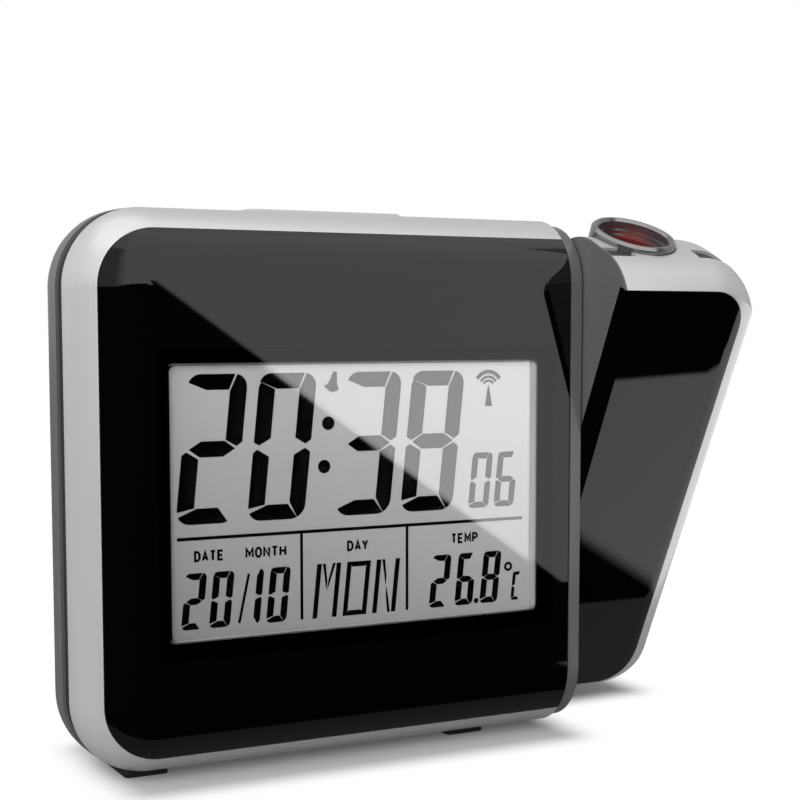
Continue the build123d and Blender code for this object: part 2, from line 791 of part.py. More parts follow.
spring_length = bay_length - 2 * contact_thickness - nub_length - cell_body
with BuildPart() as battery_contacts:
    for direction, z in cells:
        plus = bay_x + direction * bay_length / 2
        minus = bay_x - direction * bay_length / 2
        with BuildSketch(bay_plane(plus, -direction)):
            with Locations((-direction * cell_y, z)):
                Rectangle(8.0, 9.0)
        extrude(amount=contact_thickness)
        with BuildSketch(bay_plane(minus, direction)):
            with Locations((direction * cell_y, z)):
                Rectangle(8.0, 9.0)
        extrude(amount=contact_thickness)
        with BuildSketch(bay_plane(minus + direction * contact_thickness, direction)):
            with Locations((direction * cell_y, z)):
                Circle(3.8)
        extrude(amount=spring_length, taper=16)
finish(battery_contacts.part, "battery_contacts")

with BuildPart() as battery_door:
    with BuildSketch(body_plane(door_front)):
        with Locations((bay_x, bay_z)):
            RectangleRounded(door_length, door_height, 2.0)
    extrude(amount=-door_thickness)
    # finger notch of the latch
    with BuildSketch(body_plane(body_depth - 0.7)):
        with Locations((bay_x, bay_z + door_height / 2 - 4.0)):
            SlotOverall(11.0, 4.0)
    extrude(amount=-2.0, mode=Mode.SUBTRACT)
    # grip ridges
    with BuildSketch(body_plane(body_depth)):
        with Locations((bay_x, bay_z - door_height / 2 + 5.0)):
            with GridLocations(1, 1.6, 1, 3):
                SlotOverall(12.0, 0.8)
    extrude(amount=-0.3)
finish(battery_door.part, "battery_door")

# ---- Power inlet, buzzer and time-signal antenna ----
with BuildPart() as power_inlet:
    with BuildSketch(body_plane(inside_back)):
        with Locations((jack_x, jack_z)):
            Rectangle(9.4, 9.4)
    extrude(amount=jack_length - wall)
    with BuildSketch(body_plane(inside_back)):
        with Locations((jack_x, jack_z)):
            Circle(jack_radius)
    extrude(amount=-(wall - 0.2))
    with BuildSketch(body_plane(body_depth)):
        with Locations((jack_x, jack_z)):
            Circle(jack_bore)
            Circle(1.0, mode=Mode.SUBTRACT)
    extrude(amount=jack_length - 1.5, mode=Mode.SUBTRACT)
finish(power_inlet.part, "power_inlet")

with BuildPart() as buzzer:
    with BuildSketch(body_plane(inside_back - buzzer_thickness)):
        with Locations((buzzer_x, buzzer_z)):
            Circle(buzzer_radius)
    extrude(amount=-(buzzer_thickness - 0.8))
    with BuildSketch(body_plane(inside_back - 0.8)):
        with Locations((buzzer_x, buzzer_z)):
            Circle(buzzer_radius)
            Circle(buzzer_radius - 2.0, mode=Mode.SUBTRACT)
    extrude(amount=-0.8)
finish(buzzer.part, "buzzer")

with BuildPart() as antenna_rod:
    with BuildSketch(Plane.XY.offset(rod_z - rod_length / 2)):
        with Locations((rod_x, rod_depth - middle_depth)):
            Circle(rod_radius)
    extrude(amount=rod_length)
finish(antenna_rod.part, "antenna_rod")

with BuildPart() as antenna_coil:
    with BuildSketch(Plane.XY.offset(rod_z - coil_length / 2)):
        with Locations((rod_x, rod_depth - middle_depth)):
            Circle(coil_radius)
            Circle(rod_radius, mode=Mode.SUBTRACT)
    extrude(amount=coil_length)
finish(antenna_coil.part, "antenna_coil")

# ---- Arm: silver front frame, flat panel, middle frame ----
with BuildPart() as arm_ledge:
    with BuildSketch(arm_plane(panel_depth + panel_thickness)):
        arm_outline(1.0)
        panel_outline(ledge_width, Mode.SUBTRACT)
    extrude(amount=-ledge_thickness)
    add(arm_skin, mode=Mode.INTERSECT)

with BuildPart() as arm_bezel:
    add(arm_skin)
    split(bisect_by=arm_plane(frame_depth), keep=Keep.TOP)
    add(arm_core, mode=Mode.SUBTRACT)
    with BuildSketch(arm_plane(-1)):
        panel_outline(0)
    extrude(amount=-(frame_depth + 1), mode=Mode.SUBTRACT)
    add(arm_ledge.part)
    split(bisect_by=arm_inside, keep=Keep.TOP)
finish(arm_bezel.part, "arm_bezel")

with BuildPart() as arm_panel:
    with BuildSketch(arm_plane(panel_depth)):
        panel_outline(window_gap)
    extrude(amount=-panel_thickness)
    add(arm_skin, mode=Mode.INTERSECT)
    split(bisect_by=arm_end, keep=Keep.TOP)
finish(arm_panel.part, "arm_panel")

arm_posts = [(arm_right - 8.0, -arm_top + 16.0), (arm_right - 8.0, arm_top - 16.0)]
tab_half = tab_width / 2
sleeve_radius = ring_radius + ring_clearance + 1.5
ring_hole = ring_radius + ring_clearance
floor_height = arm_top - ring_seat

with BuildPart() as arm_lips:
    add(arm_core)
    add(arm_lip_core, mode=Mode.SUBTRACT)
    split(bisect_by=arm_plane(frame_depth - lap), keep=Keep.BOTTOM)
    split(bisect_by=arm_plane(band_back + lap), keep=Keep.TOP)
    split(bisect_by=Plane.YZ.offset(arm_left + cap_thickness), keep=Keep.TOP)
    with BuildSketch(arm_plane(frame_depth)):
        for x, s in arm_posts:
            with Locations((x, s)):
                Circle(post_radius)
            with Locations(((x + arm_right) / 2, s)):
                Rectangle(arm_right - x, rib_thickness)
    extrude(amount=-(joint_depth - frame_depth))
    add(arm_core, mode=Mode.INTERSECT)

with BuildPart() as arm_mid_frame:
    add(arm_band_skin)
    add(arm_core, mode=Mode.SUBTRACT)
    split(bisect_by=arm_plane(frame_depth), keep=Keep.BOTTOM)
    split(bisect_by=arm_plane(band_back), keep=Keep.TOP)
    split(bisect_by=arm_inside, keep=Keep.TOP)
    add(arm_lips.part)
    with BuildSketch(arm_plane(frame_depth)):
        with Locations(*arm_posts):
            Circle(screw_radius)
    extrude(amount=-(joint_depth - frame_depth), mode=Mode.SUBTRACT)
    # room for the housing's tab and for the sleeve of the focus ring
    with BuildSketch(arm_axis_plane(arm_top + 1)):
        with Locations((tab_x - lens_x, 0)):
            Rectangle(tab_width, 2 * arm_depth)
    extrude(amount=-(wall + 1), mode=Mode.SUBTRACT)
    with BuildSketch(arm_axis_plane(arm_top - wall)):
        Rectangle(2 * sleeve_radius + 0.4, 2 * arm_depth)
    extrude(amount=-(lip + 1), mode=Mode.SUBTRACT)
    with BuildSketch(arm_axis_plane(floor_height)):
        Circle(ring_hole)
    extrude(amount=ring_seat + 1, mode=Mode.SUBTRACT)
finish(arm_mid_frame.part, "arm_mid_frame")

# ---- Rear housing of the arm with the sleeve and floor for the focus ring ----
with BuildPart() as sleeve:
    with BuildSketch(arm_axis_plane(floor_height - floor_thickness)):
        Circle(sleeve_radius)
    extrude(amount=ring_seat + floor_thickness)
    add(arm_core, mode=Mode.INTERSECT)

with BuildPart() as arm_housing:
    add(arm_skin)
    split(bisect_by=arm_plane(frame_depth), keep=Keep.BOTTOM)
    add(arm_core, mode=Mode.SUBTRACT)
    split(bisect_by=arm_inside, keep=Keep.TOP)
    # in front of the rear housing only the tab stays
    with BuildSketch(arm_plane(frame_depth)):
        Rectangle(4 * arm_width, 2 * arm_length)
        with Locations((tab_x, arm_top)):
            Rectangle(tab_width, 4 * wall, mode=Mode.SUBTRACT)
    extrude(amount=-band_width, mode=Mode.SUBTRACT)
    add(sleeve.part)
    with BuildSketch(arm_plane(joint_depth)):
        with Locations(*arm_posts):
            Circle(post_radius + 0.6)
    extrude(amount=-(inside_back + 0.5 - joint_depth))
    with BuildSketch(arm_plane(0)):
        with Locations(*arm_posts):
            Circle(screw_radius)
    extrude(amount=-arm_depth, mode=Mode.SUBTRACT)
    with BuildSketch(arm_plane(head_depth)):
        with Locations(*arm_posts):
            Circle(screw_head_radius + 0.3)
    extrude(amount=-(arm_depth + 1 - head_depth), mode=Mode.SUBTRACT)
    with BuildSketch(arm_axis_plane(floor_height)):
        Circle(ring_hole)
    extrude(amount=ring_seat + 1, mode=Mode.SUBTRACT)
    with BuildSketch(arm_axis_plane(floor_height)):
        Circle(barrel_radius)
    extrude(amount=-floor_thickness, mode=Mode.SUBTRACT)
finish(arm_housing.part, "arm_housing")

with BuildPart() as arm_screws:
    with BuildSketch(arm_plane(head_depth)):
        with Locations(*arm_posts):
            Circle(screw_head_radius)
    extrude(amount=-1.8)
    with BuildSketch(arm_plane(head_depth)):
        with Locations(*arm_posts):
            Circle(screw_radius)
    extrude(amount=head_depth - frame_depth - 1.0)
finish(arm_screws.part, "arm_screws")

# ---- Arm's inner cap: full plate with a plug inside the shells ----
with BuildPart() as cap_plug:
    add(arm_core)
    split(bisect_by=arm_inside, keep=Keep.TOP)
    split(bisect_by=Plane.YZ.offset(arm_left + cap_thickness), keep=Keep.BOTTOM)
    split(bisect_by=arm_plane(panel_depth + panel_thickness + ledge_thickness), keep=Keep.BOTTOM)
    # the plug stops below the sleeve of the focus ring
    split(bisect_by=arm_axis_plane(floor_height - floor_thickness - 1.0), keep=Keep.BOTTOM)

with BuildPart() as arm_cap:
    add(arm_skin)
    split(bisect_by=arm_end, keep=Keep.TOP)
    split(bisect_by=arm_inside, keep=Keep.BOTTOM)
    with BuildSketch(arm_plane(0)):
        panel_outline(0)
    extrude(amount=-(panel_depth + panel_thickness), mode=Mode.SUBTRACT)
    add(cap_plug.part)
    with BuildSketch(arm_end):
        with Locations((pivot_y, pivot_height)):
            Circle(hub_radius)
    extrude(amount=cap_thickness, mode=Mode.SUBTRACT)
finish(arm_cap.part, "arm_cap")

# ---- Swivel: flanged hub, friction washer and retaining ring ----
washer_face = body_right - boss_length - washer_play
ring_face = washer_face - washer_thickness
hub_start = ring_face - ring_thickness - 1.0
hub_flange_x = arm_left + cap_thickness
groove_radius = hub_radius - 0.8
with BuildPart() as pivot_hub:
    with BuildSketch(Plane.YZ.offset(hub_start)):
        with Locations((pivot_y, pivot_height)):
            Circle(hub_radius)
    extrude(amount=hub_flange_x - hub_start)
    with BuildSketch(Plane.YZ.offset(hub_flange_x)):
        with Locations((pivot_y, pivot_height)):
            Circle(hub_flange_radius)
    extrude(amount=hub_flange_thickness)
    with BuildSketch(Plane.YZ.offset(ring_face)):
        with Locations((pivot_y, pivot_height)):
            Circle(hub_radius + 1)
            Circle(groove_radius, mode=Mode.SUBTRACT)
    extrude(amount=-ring_thickness, mode=Mode.SUBTRACT)
    with BuildSketch(Plane.YZ.offset(hub_start)):
        with Locations((pivot_y, pivot_height)):
            Circle(hub_bore)
    extrude(amount=2 * arm_width, mode=Mode.SUBTRACT)
finish(pivot_hub.part, "pivot_hub")

with BuildPart() as friction_washer:
    with BuildSketch(Plane.YZ.offset(ring_face)):
        with Locations((pivot_y, pivot_height)):
            Circle(boss_radius - 0.5)
            Circle(hub_radius, mode=Mode.SUBTRACT)
    extrude(amount=washer_thickness)
finish(friction_washer.part, "friction_washer")

with BuildPart() as retaining_ring:
    with BuildSketch(Plane.YZ.offset(ring_face)):
        with Locations((pivot_y, pivot_height)):
            Circle(hub_radius + 2.0)
            Circle(groove_radius, mode=Mode.SUBTRACT)
        with Locations((pivot_y, pivot_height - hub_radius - 1.0)):
            Rectangle(7.0, 6.0, mode=Mode.SUBTRACT)
    extrude(amount=-ring_thickness)
finish(retaining_ring.part, "retaining_ring")

# ---- Projector optics, stacked along the optical axis ----
rim_height = arm_top + ring_proud
cell_radius = ring_radius - ring_wall - 1.0 - cell_clearance
barrel_top = floor_height + 1.8
cell_top = rim_height - cell_recess
led_board_top = 10.2
led_board_thickness = 1.2
barrel_bore = barrel_radius - barrel_wall
slide_height = 22.8

with BuildPart() as focus_ring:
    with BuildSketch(arm_axis_plane(floor_height + 0.1)):
        Circle(ring_radius)
        Circle(cell_radius + cell_clearance, mode=Mode.SUBTRACT)
    extrude(amount=rim_height - floor_height - 0.1)
    with BuildSketch(arm_axis_plane(rim_height)):
        Circle(ring_radius - ring_wall)
    extrude(amount=-2.2, mode=Mode.SUBTRACT)
    with BuildSketch(arm_axis_plane(rim_height - 2.2)):
        Circle(ring_radius - ring_wall - 0.5)
    extrude(amount=-0.8, mode=Mode.SUBTRACT)
    rim = focus_ring.faces().sort_by(Axis(arm_view.origin, arm_view.y_dir))[-1]
    chamfer(rim.edges(), ring_edge)
finish(focus_ring.part, "focus_ring")

with BuildPart() as objective_cell:
    with BuildSketch(arm_axis_plane(cell_top)):
        Circle(cell_radius)
    extrude(amount=-cell_length)
    with BuildSketch(arm_axis_plane(cell_top)):
        Circle(cell_radius - 1.2)
    extrude(amount=-cell_length, mode=Mode.SUBTRACT)
    mouth = objective_cell.edges().filter_by(GeomType.CIRCLE)
    mouth = mouth.filter_by(lambda edge: edge.radius < cell_radius - 1)
    chamfer(mouth.sort_by(Axis(arm_view.origin, arm_view.y_dir))[-1], 1.0)
finish(objective_cell.part, "objective_cell")


def lens_solid(radius, thickness, bulge, height):
    """Lens with two bulged faces, its middle plane at a height along the optical axis."""
    edge = thickness / 2 - bulge
    sphere = (radius**2 + bulge**2) / (2 * bulge)
    half_turn = asin(radius / sphere) / 2
    middle = (sphere * sin(half_turn), thickness / 2 - sphere * (1 - cos(half_turn)))
    origin = arm_axis_plane(height).origin
    with BuildPart() as lens:
        with BuildSketch(Plane(origin=origin, x_dir=(1, 0, 0), z_dir=arm_view.z_dir)):
            with BuildLine():
                Polyline((0, thickness / 2), (0, -thickness / 2))
                ThreePointArc((0, -thickness / 2), (middle[0], -middle[1]), (radius, -edge))
                Line((radius, -edge), (radius, edge))
                ThreePointArc((radius, edge), middle, (0, thickness / 2))
            make_face()
        revolve(axis=Axis(origin, arm_view.y_dir))
    return lens.part


objective_lens = lens_solid(cell_radius - 1.2, lens_thickness, 0.7, cell_top - 3.0)
finish(objective_lens, "objective_lens")
condenser_lens = lens_solid(barrel_bore, 3.2, 1.0, led_board_top + 8.0)
finish(condenser_lens, "condenser_lens")

with BuildPart() as lens_barrel:
    with BuildSketch(arm_axis_plane(led_board_top)):
        Circle(barrel_radius)
    extrude(amount=barrel_top - led_board_top)
    with BuildSketch(arm_axis_plane(floor_height - floor_thickness)):
        Circle(barrel_flange)
    extrude(amount=-1.4)
    with BuildSketch(arm_axis_plane(led_board_top)):
        Circle(barrel_bore)
    extrude(amount=barrel_top - led_board_top, mode=Mode.SUBTRACT)
    with BuildSketch(arm_axis_plane(slide_height)):
        Circle(barrel_bore + 0.2)
        Circle(3.1, mode=Mode.SUBTRACT)
    extrude(amount=-0.8)
finish(lens_barrel.part, "lens_barrel")

with BuildPart() as projection_slide:
    with BuildSketch(arm_axis_plane(slide_height)):
        Rectangle(slide_width, slide_width)
    extrude(amount=slide_thickness)
finish(projection_slide.part, "projection_slide")

with BuildPart() as led_board:
    with BuildSketch(arm_axis_plane(led_board_top)):
        Rectangle(led_board_width, led_board_height)
    extrude(amount=-led_board_thickness)
finish(led_board.part, "led_board")

with BuildPart() as projector_led:
    with BuildSketch(arm_axis_plane(led_board_top)):
        Circle(2.5)
    extrude(amount=4.0)
    crown = projector_led.faces().sort_by(Axis(arm_view.origin, arm_view.y_dir))[-1]
    fillet(crown.edges(), 2.2)
finish(projector_led.part, "projector_led")

# ---- Leads through the hollow hub ----
lead_radius = 0.7
with BuildPart() as body_lead:
    with BuildSketch(Plane.YZ.offset(lead_socket_x + 2.5)):
        with Locations((pivot_y, pivot_height)):
            Circle(lead_radius)
    extrude(amount=plate_right - lead_socket_x - 2.5)
finish(body_lead.part, "body_lead")

lead_start = Vector(arm_left, pivot_y, pivot_height)
lead_turn = Vector(lens_x + 3.0, pivot_y, pivot_height)
lead_rise = led_board_top - led_board_thickness
lead_end = lead_turn + arm_view.y_dir * lead_rise
lead_bend = 0.45 * lead_rise
with BuildPart() as arm_lead:
    with BuildLine() as route:
        FilletPolyline(lead_start, lead_turn, lead_end, radius=lead_bend)
    with BuildSketch(Plane.YZ.offset(arm_left)):
        with Locations((pivot_y, pivot_height)):
            Circle(lead_radius)
    sweep()
finish(arm_lead.part, "arm_lead")
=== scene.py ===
import bpy
import numpy as np
from math import pi, radians
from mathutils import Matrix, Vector


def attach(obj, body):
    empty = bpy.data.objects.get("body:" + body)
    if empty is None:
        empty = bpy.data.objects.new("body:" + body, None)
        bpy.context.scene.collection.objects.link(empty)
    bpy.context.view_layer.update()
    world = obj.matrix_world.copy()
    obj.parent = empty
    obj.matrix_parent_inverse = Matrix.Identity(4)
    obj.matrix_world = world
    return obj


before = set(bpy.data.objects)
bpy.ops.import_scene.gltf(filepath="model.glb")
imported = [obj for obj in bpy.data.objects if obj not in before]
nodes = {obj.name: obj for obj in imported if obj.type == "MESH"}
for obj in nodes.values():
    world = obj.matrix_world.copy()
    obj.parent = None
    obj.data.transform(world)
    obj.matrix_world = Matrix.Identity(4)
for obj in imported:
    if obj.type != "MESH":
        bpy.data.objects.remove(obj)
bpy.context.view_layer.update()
mm = 0.001
print("frame loaded:", len(nodes), "nodes")

# places that several pieces share, in millimetres, as in the solids
windowFront = -16.45
opening = {"left": -53.375, "bottom": 25.98, "width": 76.07, "height": 49.17, "corner": 1.2, "margin": 3.0}

# the camera stands to the left of the clock, turned and tilted down by degrees
cameraSettings = {
    "place": (-148.225, -282.85, 82.0),
    "turn": 27.78,
    "tilt": 5.1,
    "lens": 72.27,
    "shift": (-0.005, 0.0875),
    "clip": (0.01, 20),
}


def makeCamera(settings):
    data = bpy.data.cameras.new("camera")
    data.lens = settings["lens"]
    data.shift_x, data.shift_y = settings["shift"]
    data.clip_start, data.clip_end = settings["clip"]
    camera = bpy.data.objects.new("camera", data)
    camera.location = np.array(settings["place"]) * mm
    camera.rotation_euler = (radians(90 - settings["tilt"]), 0, -radians(settings["turn"]))
    bpy.context.scene.collection.objects.link(camera)
    bpy.context.scene.camera = camera


makeCamera(cameraSettings)
bpy.context.scene.view_settings.view_transform = "Standard"
print("camera placed")


class Wire:
    # an output socket; sums written with it add Math nodes
    def __init__(self, socket):
        self.socket = socket

    def maths(self, operation, first, second=0.0):
        tree = self.socket.id_data
        step = tree.nodes.new("ShaderNodeMath")
        step.operation = operation
        for slot, value in zip(step.inputs, (first, second)):
            plug(tree, slot, value)
        return Wire(step.outputs[0])

    def __add__(self, other):
        return self.maths("ADD", self, other)

    def __sub__(self, other):
        return self.maths("SUBTRACT", self, other)

    def __rsub__(self, other):
        return self.maths("SUBTRACT", other, self)

    def __mul__(self, other):
        return self.maths("MULTIPLY", self, other)

    def __truediv__(self, other):
        return self.maths("DIVIDE", self, other)

    def __gt__(self, other):
        return self.maths("GREATER_THAN", self, other)

    def __lt__(self, other):
        return self.maths("LESS_THAN", self, other)

    def __abs__(self):
        return self.maths("ABSOLUTE", self)

    def most(self, other):
        return self.maths("MAXIMUM", self, other)

    def least(self, other):
        return self.maths("MINIMUM", self, other)

    def power(self, other):
        return self.maths("POWER", self, other)

    __radd__ = __add__
    __rmul__ = __mul__


def plug(tree, slot, value):
    if isinstance(value, Wire):
        tree.links.new(value.socket, slot)
    elif value is not None:
        slot.default_value = value


class Finish:
    # a material and the one method that adds its nodes
    def __init__(self, name):
        self.material = bpy.data.materials.new(name)
        self.material.use_nodes = True
        self.tree = self.material.node_tree
        self.tree.nodes.clear()
        self.output = self.tree.nodes.new("ShaderNodeOutputMaterial")

    def node(self, kind, settings=None, values=None, out=0):
        made = self.tree.nodes.new("ShaderNode" + kind)
        for key, value in (settings or {}).items():
            setattr(made, key, value)
        for key, value in (values or {}).items():
            plug(self.tree, made.inputs[key], value)
        return Wire(made.outputs[out])

    def where(self):
        return self.node("TexCoord", out="Object")

    def place(self):
        # object coordinates as three wires, in millimetres
        where = self.where()
        axes = [self.node("SeparateXYZ", values={"Vector": where}, out=i) for i in range(3)]
        return [axis * 1000.0 for axis in axes]

    def noise(self, scale, detail=2.0, rough=0.5, stretch=None):
        where = self.where()
        if stretch:
            where = self.node("Mapping", values={"Vector": where, "Scale": stretch})
        return self.node("TexNoise", values={"Vector": where, "Scale": scale, "Detail": detail,
                                             "Roughness": rough})

    def between(self, share, low, high):
        # low plus the share, held between 0 and 1, of the way to high
        return self.node("MapRange", {"clamp": True}, {"Value": share, "To Min": low, "To Max": high})

    def softStep(self, value, start, end):
        # 0 before start and 1 after end, with a smooth curve between them
        return self.node("MapRange", {"interpolation_type": "SMOOTHSTEP", "clamp": True},
                         {"Value": value, "From Min": start, "From Max": end})

    def blend(self, share, first, second):
        return self.node("Mix", {"data_type": "RGBA"}, {0: share, 6: first, 7: second}, out=2)

    def bump(self, height, strength, distance=0.00002):
        return self.node("Bump", values={"Height": height, "Strength": strength, "Distance": distance})

    def surface(self, values):
        return self.node("BsdfPrincipled", values=values)

    def mixed(self, share, first, second):
        return self.node("MixShader", values={0: share, 1: first, 2: second})

    def glow(self, color, strength):
        return self.node("Emission", values={"Color": color, "Strength": strength})

    def seeThrough(self):
        return self.node("BsdfTransparent", values={"Color": gray(1.0)})

    def done(self, shader):
        self.tree.links.new(shader.socket, self.output.inputs["Surface"])
        return self.material


def dress(names, material):
    for name in names:
        slots = nodes[name].data.materials
        slots.clear()
        slots.append(material)


def gray(value):
    return (value, value, value, 1.0)


def darker(color, share):
    return tuple(c * share for c in color[:3]) + (1.0,)


# metallic paints: fine flakes from shade to color, with a gloss that clouds over within its range
paints = {
    "silverPaint": {
        "color": (0.605, 0.60, 0.588, 1.0), "shade": (0.565, 0.56, 0.548, 1.0), "metal": 0.5,
        "rough": (0.30, 0.38),
        "nodes": ["front_bezel", "snooze_bar", "arm_bezel", "arm_housing"],
    },
    "darkPlating": {
        "color": gray(0.26), "shade": gray(0.23), "metal": 0.85, "rough": (0.16, 0.24),
        "nodes": ["focus_ring"],
    },
}
paintGrain = {"flakes": 9000.0, "clouds": 60.0, "coat": 0.15, "coatRough": 0.12, "bump": 0.05}


def metallicPaint(name, look):
    finish = Finish(name)
    flakes = finish.noise(paintGrain["flakes"], 1.0)
    clouds = finish.noise(paintGrain["clouds"], 3.0)
    return finish.done(finish.surface({
        "Base Color": finish.blend(flakes, look["shade"], look["color"]),
        "Metallic": look["metal"],
        "Roughness": finish.between(clouds, *look["rough"]),
        "Coat Weight": paintGrain["coat"],
        "Coat Roughness": paintGrain["coatRough"],
        "Normal": finish.bump(flakes, paintGrain["bump"]),
    }))


for name, look in paints.items():
    dress(look["nodes"], metallicPaint(name, look))

# plastics and rubber; grain, bump and coat are taken from plainPlastic where a row leaves them out
plainPlastic = {"grain": 2500.0, "bump": 0.15, "coat": 0.0, "coatRough": 0.08, "clouds": 45.0, "drift": 0.12}
plastics = {
    "anthracite": {"color": gray(0.098), "rough": 0.30, "grain": 5000.0, "bump": 0.02, "coat": 0.3,
                   "nodes": ["end_plate", "arm_cap"]},
    "darkShell": {"color": (0.100, 0.100, 0.101, 1.0), "rough": 0.30, "grain": 3500.0, "bump": 0.06,
                  "coat": 0.1, "nodes": ["rear_housing", "battery_door"]},
    "darkBand": {"color": gray(0.026), "rough": 0.45, "nodes": ["mid_frame", "arm_mid_frame"]},
    "keyPlastic": {"color": (0.035, 0.035, 0.037, 1.0), "rough": 0.5, "bump": 0.3,
                   "nodes": ["mode_key", "set_key", "up_key", "down_key", "light_key", "alarm_knob",
                             "projection_knob"]},
    "blackPlastic": {"color": (0.010, 0.010, 0.011, 1.0), "rough": 0.45, "bump": 0.3,
                     "nodes": ["power_inlet", "pivot_hub", "buzzer", "lens_barrel", "key_switches",
                               "snooze_switch", "controller_chip"]},
    "footRubber": {"color": gray(0.012), "rough": 0.85, "grain": 3500.0, "bump": 0.6,
                   "nodes": ["feet", "body_lead", "arm_lead"]},
    "whitePlastic": {"color": (0.75, 0.75, 0.72, 1.0), "rough": 0.55, "nodes": ["lcd_reflector"]},
    "frameGray": {"color": (0.40, 0.40, 0.39, 1.0), "rough": 0.55, "nodes": ["lcd_frame"]},
    "nylon": {"color": (0.70, 0.67, 0.58, 1.0), "rough": 0.6, "nodes": ["lead_socket", "friction_washer"]},
    "ferrite": {"color": (0.045, 0.045, 0.05, 1.0), "rough": 0.6, "grain": 3000.0, "bump": 0.5,
                "nodes": ["antenna_rod"]},
    "slideGlass": {"color": (0.06, 0.06, 0.065, 1.0), "rough": 0.08, "nodes": ["projection_slide"]},
}


def mouldedPlastic(name, look):
    # a fine moulded skin; colour and gloss both drift by the same share, up and down
    look = {**plainPlastic, **look}
    drift = look["drift"]
    smoothest, roughest = look["rough"] * (1 - drift), look["rough"] * (1 + drift)
    finish = Finish(name)
    skin = finish.noise(look["grain"], 2.0)
    clouds = finish.noise(look["clouds"], 3.0)
    return finish.done(finish.surface({
        "Base Color": finish.blend(clouds, darker(look["color"], 1 - drift), look["color"]),
        "Roughness": finish.between(clouds, smoothest, min(roughest, 1.0)),
        "Coat Weight": look["coat"],
        "Coat Roughness": look["coatRough"],
        "Normal": finish.bump(skin, look["bump"]),
    }))


for name, look in plastics.items():
    dress(look["nodes"], mouldedPlastic(name, look))

# bare metals, brushed along the axis with the smallest stretch
metals = {
    "zincSteel": {"color": (0.60, 0.60, 0.61, 1.0), "rough": 0.32, "stretch": (1.0, 1.0, 0.1),
                  "nodes": ["housing_screws", "board_screws", "arm_screws", "retaining_ring",
                            "slide_switches"]},
    "nickelPlate": {"color": (0.66, 0.64, 0.58, 1.0), "rough": 0.25, "stretch": (0.1, 1.0, 1.0),
                    "nodes": ["battery_contacts"]},
}
brush = {"strokes": 900.0, "shade": 0.8, "rough": (0.8, 1.25), "bump": 0.2}


def brushedMetal(name, look):
    finish = Finish(name)
    strokes = finish.noise(brush["strokes"], 4.0, 0.6, look["stretch"])
    return finish.done(finish.surface({
        "Base Color": finish.blend(strokes, darker(look["color"], brush["shade"]), look["color"]),
        "Metallic": 1.0,
        "Roughness": finish.between(strokes, *(look["rough"] * share for share in brush["rough"])),
        "Normal": finish.bump(strokes, brush["bump"]),
    }))


for name, look in metals.items():
    dress(look["nodes"], brushedMetal(name, look))

# bands across one axis, pitch millimetres apart: a striped contact strip and a winding
banded = {
    "contactRubber": {"first": gray(0.05), "second": (0.70, 0.66, 0.58, 1.0), "axis": "X", "pitch": 0.5,
                      "rough": 0.7, "metal": 0.0, "nodes": ["connector_strips"]},
    "copperWinding": {"first": (0.42, 0.16, 0.07, 1.0), "second": (0.80, 0.38, 0.19, 1.0), "axis": "Z",
                      "pitch": 0.4, "rough": 0.3, "metal": 1.0, "nodes": ["antenna_coil"]},
}
bandStyle = {"roughest": 1.3, "bump": 0.5, "relief": 0.0001}


def bandedFinish(name, look):
    # the wave texture repeats every 2 pi / 20 of its scaled length, so the scale is that over the pitch
    finish = Finish(name)
    wave = finish.node("TexWave", {"wave_type": "BANDS", "bands_direction": look["axis"]},
                       {"Vector": finish.where(), "Scale": 2 * pi / 20 / (look["pitch"] * mm),
                        "Distortion": 0.0})
    return finish.done(finish.surface({
        "Base Color": finish.blend(wave, look["first"], look["second"]),
        "Metallic": look["metal"],
        "Roughness": finish.between(wave, look["rough"], look["rough"] * bandStyle["roughest"]),
        "Normal": finish.bump(wave, bandStyle["bump"], bandStyle["relief"]),
    }))


for name, look in banded.items():
    dress(look["nodes"], bandedFinish(name, look))

boardLook = {"mask": (0.012, 0.075, 0.030, 1.0), "track": (0.03, 0.16, 0.07, 1.0), "scale": 240.0,
             "gap": 0.03, "rough": 0.3, "coat": 0.5, "bump": 0.3}


def boardFinish():
    # solder mask over fine copper tracks, which run along the joints of a brick pattern
    finish = Finish("circuitBoard")
    cells = finish.node("TexBrick", {"offset": 0.5}, {
        "Vector": finish.where(), "Scale": boardLook["scale"], "Mortar Size": boardLook["gap"],
        "Color1": gray(0.0), "Color2": gray(0.3), "Mortar": gray(1.0),
    })
    return finish.done(finish.surface({
        "Base Color": finish.blend(cells, boardLook["mask"], boardLook["track"]),
        "Roughness": boardLook["rough"],
        "Coat Weight": boardLook["coat"],
        "Normal": finish.bump(cells, boardLook["bump"]),
    }))


dress(["main_board", "key_board", "led_board"], boardFinish())

# battery cells: where their middle is and how far from it the ring and the bare end begin
cellLook = {
    "middle": -24.0, "ring": (15.5, 20.5), "end": 21.3,
    "sleeve": (0.05, 0.055, 0.065, 1.0), "gold": (0.55, 0.42, 0.16, 1.0), "steel": gray(0.6),
    "metal": (0.4, 1.0), "rough": (0.25, 0.35), "grain": 300.0,
}


def cellFinish():
    # plain printed sleeve with a lighter ring round its end
    finish = Finish("cellSleeve")
    x, y, z = finish.place()
    along = abs(x - cellLook["middle"])
    ring = (along > cellLook["ring"][0]) * (along < cellLook["ring"][1])
    steel = along > cellLook["end"]
    color = finish.blend(ring, cellLook["sleeve"], cellLook["gold"])
    return finish.done(finish.surface({
        "Base Color": finish.blend(steel, color, cellLook["steel"]),
        "Metallic": finish.between(steel, *cellLook["metal"]),
        "Roughness": finish.between(finish.noise(cellLook["grain"]), *cellLook["rough"]),
    }))


dress(["battery_cells"], cellFinish())
print("plastics, metals and inner pieces dressed")

# front window: glossy black with a clear area over the display; the inner face is a little behind the front
windowLook = {"black": gray(0.0008), "rough": 0.02, "lens": 1.49, "mirror": 0.04, "innerFace": 1.0}


